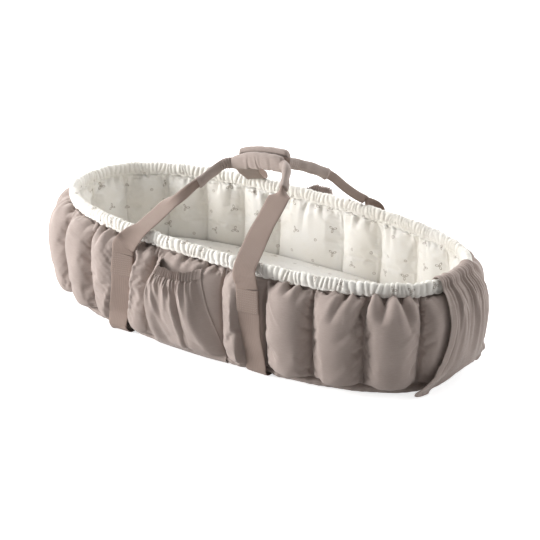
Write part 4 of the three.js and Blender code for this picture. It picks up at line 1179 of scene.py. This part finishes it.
def grip_tube(name, section, ends, taper, body, nodes, folds):
    """A padded piece along the grip from its section, with rounded ends and soft creases."""
    stations = np.concatenate([[-1.0], np.linspace(-1, 1, 100), [1.0]])
    middle = section[:-1].mean(axis=0)
    points = np.empty((len(section), len(stations), 3))
    for number, station in enumerate(stations):
        shape = np.broadcast_to(middle, section.shape)
        if 0 < number < len(stations) - 1:
            narrow = 1 - taper * ease((-0.2 - station) / 0.8)
            shape = middle + (section - middle) * (1 - 0.32 * np.abs(station) ** 26) * np.array([1, narrow])
            shape = shape + unit(section - middle) * folds(station, section)[:, None] * MILLIMETRE
        along = ends[0] + (ends[1] - ends[0]) * (0.5 + 0.5 * station)
        bend = float(grip_arch(along / SLEEVE_HALF))
        points[:, number] = [grip_point(along, y, z + bend) for y, z in shape]
    piece = cloth(name, points, taupe_cotton)
    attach(piece, body)
    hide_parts(*nodes)


angle = np.linspace(0, 2 * math.pi, 57)
sleeve_section = np.stack([
    -0.5 * GRIP_GAP + 0.5 * SLEEVE_DEPTH * np.sign(np.cos(angle)) * np.abs(np.cos(angle)) ** 0.75,
    0.5 * SLEEVE_TALL * np.sign(np.sin(angle)) * np.abs(np.sin(angle)) ** 0.8,
], axis=1)


def sleeve_folds(station, section):
    """Creases across the sleeve, deepest at its underside."""
    low = np.clip(0.45 - section[:, 1] / SLEEVE_TALL, 0, 1)
    total = 0.25 * np.sin(station * 17 + section[:, 1] * 190)
    for place, deep, wide, slant in SLEEVE_CREASES:
        away = station - place - slant * 0.08 * section[:, 1] / SLEEVE_TALL
        total = total + deep * low * (0.5 * hump(away + 1.6 * wide, wide) - hump(away, wide))
    return total


def leaf_folds(station, section):
    """Slow swells over the leaf."""
    return 0.2 * np.sin(station * 13 + section[:, 1] * 150)


sleeve_ends = (-SLEEVE_HALF, SLEEVE_HALF)
leaf_section = through(LEAF_OUTLINE, np.linspace(0, 1, 73))
leaf_section[-1] = leaf_section[0]
grip_tube("front_grip_sleeve_dressed", sleeve_section, sleeve_ends, SLEEVE_TAPER, "front_handle",
          ["front_grip_sleeve"], sleeve_folds)
grip_tube("rear_grip_leaf_dressed", leaf_section, LEAF_ENDS, 0.0, "grip_leaf",
          ["rear_grip_leaf"], leaf_folds)
pile_tape = fine_grained("taupe_tape", (0.25, 0.20, 0.17), 2600.0, 3.0, 0.55, 0.7, 0.0005, 0.95)
repaint(pile_tape, "grip_loop_tape", "grip_hook_tape")

# Two pockets of the outer cloth, one on each long wall. Each is sewn down at its sides and foot, and an
# elastic in its hem gathers the top, so folds run down from it and the pocket stands off the wall.
POCKET_BOTTOM = 0.003
POCKET_LOW_EDGE = [(3, -99), (60, -95), (100, -90), (130, -84), (150, -76), (162, -68)]
POCKET_HIGH_EDGE = [(3, 58), (60, 46), (100, 35), (130, 28), (162, 19)]
POCKET_GAP = 0.0012
HEM_WIDTH = 0.0155
CLOTH_THICK = 0.0013
POCKET_CREST = [(3, 10.5), (9, 15.5), (18.3, 21), (40, 34), (62, 43), (85, 48.5), (106.5, 51.5)]
POCKET_CREST += [(130, 52), (148, 48), (162, 46)]
POCKET_FOLDS = (5, 0.055, 0.0048, 1.6)
POCKET_SMALL_FOLDS = (9, 0.026, 0.0034, 1.6)
POCKET_FINE_FOLDS = (30, 0.010, 0.0022, 0.2)


def channel_share(run):
    """How far across its channel a run lies, from 0 to 1."""
    wrapped = np.mod(run - seams[0], OVAL_RUN) + seams[0]
    index = np.clip(np.searchsorted(seams, wrapped, side="right") - 1, 0, len(seams) - 2)
    edges = np.array(seams)
    return (wrapped - edges[index]) / (edges[index + 1] - edges[index])


def shell_reach(run, height):
    """How far the outer shell stands out at a run and a height."""
    fine = np.linspace(0, 1, 200)
    crest, seam = through(OUTER_CREST, fine), through(OUTER_SEAM, fine)
    level = height * NECK_HEIGHT / neck_at(run)
    low = np.interp(level, seam[:, 1], seam[:, 0])
    return low + (np.interp(level, crest[:, 1], crest[:, 0]) - low) * bulge(channel_share(run))


def hanging_folds(share, depth, folds, width, tall, spare):
    """Folds that fall from a gathered edge: ridges that wander and spread as they go down."""
    total = np.zeros(np.broadcast_shapes(share.shape, depth.shape))
    for number in range(folds):
        start = (number + 0.5 + random.uniform(-0.35, 0.35)) / folds
        lean = random.uniform(-0.12, 0.12) * spare
        wide = width * random.uniform(0.7, 1.3)
        size = tall * random.uniform(0.5, 1.15)
        long = random.uniform(0.45, 1.3)
        away = (share - start - lean * depth) / (wide * (1 + 0.8 * depth))
        total += size * (hump(away, 1) - 0.5 * hump(away - 1.6, 1)) * hump(depth, long)
    return total


def two_sided(face):
    """Both faces of the cloth. The back lies behind the face by its thickness."""
    back = face - facing(face, False) * CLOTH_THICK
    return both_faces(face, back, 0.5 * (face + back))


def pocket(name, side, rise, gape, replaced):
    """A gathered pocket on one wall. The middle of its top edge rises above its corners, or sags below."""
    share = np.linspace(0, 1, 201)[None, :]
    rows = np.concatenate([np.linspace(0, 0.9, 50), np.linspace(0.9, 1, 22)[1:]])[:, None]
    z = POCKET_BOTTOM + rows * (POCKET_TOP - POCKET_BOTTOM)
    crest = from_table(POCKET_CREST, z)
    low_edge, high_edge = from_table(POCKET_LOW_EDGE, z), from_table(POCKET_HIGH_EDGE, z)
    run = wall_run(low_edge + (high_edge - low_edge) * share, side)
    rolled_in = np.clip(2 * z / BASE_HEIGHT - 1, -1, 1)
    roll = (BASE_BULGE + BASE_INSET) * np.sqrt(1 - rolled_in**2) - BASE_INSET
    sewn = np.maximum(shell_reach(run, z), roll) + POCKET_GAP
    stand = ease(share / (0.13 + 0.12 * ease((rows - 0.6) / 0.4))) * ease((1 - share) / 0.3)
    depth = (POCKET_TOP - HEM_WIDTH - z) / 0.14
    below = np.clip(depth, 0, 2)
    folds = hanging_folds(share, below, *POCKET_FOLDS)
    folds = folds + hanging_folds(share, below * 1.8, *POCKET_SMALL_FOLDS)
    folds = folds - 0.0050 * hump(share - 0.62 + 0.03 * below, 0.022) * (1 - 0.4 * below)
    folds = folds + 0.0030 * hump(share - 0.555 + 0.03 * below, 0.03) * (1 - 0.4 * below)
    fine = hanging_folds(share, below * 5, *POCKET_FINE_FOLDS)
    hem = ease((z - (POCKET_TOP - HEM_WIDTH)) / 0.002)
    waves = np.sin(share * 2 * math.pi * 24 + 1.1 * np.sin(share * 23) + 0.5 * np.sin(share * 61))
    gathered = (0.0017 + 0.0005 * np.sin(share * 37)) * waves * hem
    pinch = -0.0024 * hump(z - POCKET_TOP + HEM_WIDTH, 0.0012) * ease(rows / 0.05)
    rolled = 0.0011 * hem * (1 - ease((z - POCKET_TOP + 0.002) / 0.002))
    reach = sewn + (np.maximum(crest, sewn + 0.001) - sewn) * stand
    reach = reach + (folds + fine) * (0.25 + 0.75 * stand) * (1 - hem) * ease(rows / 0.12)
    reach = reach + gathered * stand + pinch + rolled
    reach = reach + gape * stand * ease((rows - 0.6) / 0.4)
    arch = rise * (1 - (2 * share - 1) ** 2) * ease((rows - 0.7) / 0.3)
    height = z + arch + (0.0013 * waves + 0.0012 * np.sin(share * 21)) * hem * stand
    face = beside_oval(run, np.maximum(reach, sewn * 0.999), height)
    if side > 0:
        face = face[:, ::-1]
    made = cloth(name, two_sided(face), taupe_cotton)
    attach(made, "root")
    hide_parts(*replaced)


pocket("front_pocket_dressed", -1, -0.005, 0.0, ["front_pocket", "front_pocket_elastic"])
pocket("rear_pocket_dressed", 1, 0.018, 0.006, ["rear_pocket", "rear_pocket_elastic"])

# The foot cover hangs over the outside of the foot end from a band that is folded over the rim. It is cut
# like a bib, gathered at the band and hemmed all round. The gathers run on over the band.
COVER_REACH = [(6, 13.2), (18.3, 20), (35, 26.5), (56, 32), (85, 35.5), (106, 36.5), (130, 34.5)]
COVER_REACH += [(148, 29.5), (160, 21.5), (169, 11.6)]
COVER_TOP = 0.1688
COVER_FOOT = [(0, 26), (0.3, 24), (0.55, 11), (0.8, 4), (1, 6)]
COVER_FLARE = 0.017
BAND_SHARE = 0.555
BAND_ROWS = 40
COVER_HEM = 0.010
BAND_PATH = [(10.4, 3), (9.4, 8.2), (5.2, 12.4), (0, 14), (-5.2, 12.4), (-8.8, 8.5), (-9.9, 2), (-9.8, -8)]
BAND_PATH += [(-9.6, -18)]
COVER_FOLDS = (8, 0.05, 0.0056, 0.9)
COVER_SMALL_FOLDS = (19, 0.018, 0.0030, 0.5)

cover_share = np.linspace(0, 1, 201)[None, :]
cover_rows = np.linspace(0, 1, 86)[:, None]
fold_depth = np.concatenate([1 - cover_rows, np.linspace(0, -0.3, BAND_ROWS)[:, None]])
cover_folds = hanging_folds(cover_share, fold_depth, *COVER_FOLDS)
cover_folds = cover_folds + hanging_folds(cover_share, fold_depth * 2.2, *COVER_SMALL_FOLDS)


def cover_face(share, rows, folds):
    """The cover's outer face, from its foot to the band. Its lower corners hang lower and flare out."""
    aside = np.abs(2 * share - 1)
    foot_table = np.array(COVER_FOOT)
    foot = np.interp(aside, foot_table[:, 0], foot_table[:, 1]) * MILLIMETRE
    z = foot + rows * (COVER_TOP - foot)
    wide = cover_width(z)
    run = 0.5 * OVAL_RUN + COVER_HALF * wide * (2 * share - 1)
    reach = from_table(COVER_REACH, z)
    reach = reach + COVER_FLARE * ease((aside - 0.62) / 0.38) * ease((0.05 - z) / 0.04)
    edge = np.minimum(share, 1 - share) * 2 * COVER_HALF * wide
    from_side, from_foot = edge - COVER_HEM, z - foot - COVER_HEM
    hem = np.maximum(1 - ease((from_side + 0.001) / 0.002), 1 - ease(from_foot / 0.002))
    stitched = hump(from_side, 0.0011) + hump(from_foot, 0.0011)
    reach = reach + folds * (0.3 + 0.7 * ease(rows / 0.25)) * (0.4 + 0.6 * ease(edge / 0.03))
    reach = reach + 0.0007 * hem - 0.0008 * np.minimum(stitched, 1)
    rim = neck_at(run) + NECK_BELOW_RIM
    lift = ease((rows - 0.85) / 0.15) * (rim - 0.001 - COVER_TOP)
    return beside_oval(run, reach, z + lift)


band_profile = through(BAND_PATH, np.linspace(0, 1, BAND_ROWS))
band_reach, band_lift = band_profile[:, :1], band_profile[:, 1:]
band_run = 0.5 * OVAL_RUN + COVER_HALF * BAND_SHARE * (2 * cover_share - 1)
band_rim = neck_at(band_run) + NECK_BELOW_RIM
over = np.hypot(band_reach, band_lift - 0.002)
swell = 0.55 * np.maximum(cover_folds[len(cover_rows):], -0.001) / over
band_reach, band_lift = band_reach * (1 + swell), band_lift + (band_lift - 0.002) * swell * 0.7
band_face = beside_oval(band_run, band_reach, band_rim + band_lift)
cover_part = cover_face(cover_share, cover_rows, cover_folds[:len(cover_rows)])
whole_face = np.concatenate([cover_part, band_face])
cover = cloth("foot_cover_dressed", two_sided(whole_face), taupe_cotton)
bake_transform(cover)
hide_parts("foot_cover", "foot_cover_band")

# The floor, the light and the camera. The floor is pale and plain. Soft lamps stand low in front of the head
# end, higher behind the nest and above it, so the head end is bright and the foot end's front lies in shade.
CAMERA_AIM = (0.0182, 0.0, 0.0998)
CAMERA_AZIMUTH = math.radians(36.087)
CAMERA_ELEVATION = math.radians(22.086)
CAMERA_DISTANCE = 2.7618
CAMERA_LENS = 110.0
LAMPS = {
    "front_left_lamp": ((-2.3, -1.9, 0.92), 1.6, 130.0),
    "rear_left_lamp": ((-2.4, 1.4, 1.6), 2.0, 56.0),
    "rear_lamp": ((0.2, 2.6, 1.5), 2.0, 46.0),
    "rear_right_lamp": ((2.4, 1.5, 1.3), 2.0, 40.0),
    "high_lamp": ((-0.3, 0.3, 3.0), 2.4, 40.0),
}
WORLD_LIGHT = 0.075
FLOOR_LIFT = 0.75


def plainly_seen(tree):
    """1 to the camera, in reflections and through glass, and 0 to everything else."""
    path = tree.nodes.new("ShaderNodeLightPath")
    seen = maths(tree, "MAXIMUM", path.outputs["Is Camera Ray"], path.outputs["Is Glossy Ray"])
    return maths(tree, "MAXIMUM", seen, path.outputs["Is Transmission Ray"])


world = bpy.data.worlds.new("studio")
bpy.context.scene.world = world
world.use_nodes = True
sky = world.node_tree
lit = sky.nodes["Background"]
lit.inputs["Color"].default_value = (1.0, 0.985, 0.965, 1)
lit.inputs["Strength"].default_value = WORLD_LIGHT
white = node(sky, "ShaderNodeBackground", {"Color": (1, 1, 1, 1)})
shown = node(sky, "ShaderNodeMixShader", {0: plainly_seen(sky), 1: lit.outputs[0], 2: white.outputs[0]})
sky.links.new(shown.outputs[0], sky.nodes["World Output"].inputs[0])

floor_paint, floor_tree, floor_shader, _ = new_material("pale_floor")
floor_shader.inputs["Base Color"].default_value = (0.72, 0.72, 0.72, 1)
floor_shader.inputs["Roughness"].default_value = 0.9
floor_shader.inputs["Emission Color"].default_value = (1, 1, 1, 1)
floor_lift = maths(floor_tree, "MULTIPLY", plainly_seen(floor_tree), FLOOR_LIFT)
floor_tree.links.new(floor_lift, floor_shader.inputs["Emission Strength"])
disc = bmesh.new()
bmesh.ops.create_circle(disc, cap_ends=True, segments=96, radius=30)
floor = placed("floor", disc, floor_paint)

for name, (place, size, power) in LAMPS.items():
    light = bpy.data.lights.new(name, "AREA")
    light.size = size
    light.energy = power
    lamp = bpy.data.objects.new(name, light)
    lamp.location = place
    lamp.rotation_euler = (Vector(CAMERA_AIM) - Vector(place)).to_track_quat("-Z", "Y").to_euler()
    bpy.context.scene.collection.objects.link(lamp)

camera_data = bpy.data.cameras.new("camera")
camera_data.lens = CAMERA_LENS
camera_data.sensor_width = 36.0
camera_data.clip_end = 100.0
camera = bpy.data.objects.new("camera", camera_data)
bpy.context.scene.collection.objects.link(camera)
aside, ahead = math.sin(CAMERA_AZIMUTH), -math.cos(CAMERA_AZIMUTH)
level = math.cos(CAMERA_ELEVATION)
back = Vector((aside * level, ahead * level, math.sin(CAMERA_ELEVATION)))
camera.location = Vector(CAMERA_AIM) + back * CAMERA_DISTANCE
camera.rotation_euler = (-back).to_track_quat("-Z", "Y").to_euler()
bpy.context.scene.camera = camera
bpy.context.scene.view_settings.view_transform = "Standard"
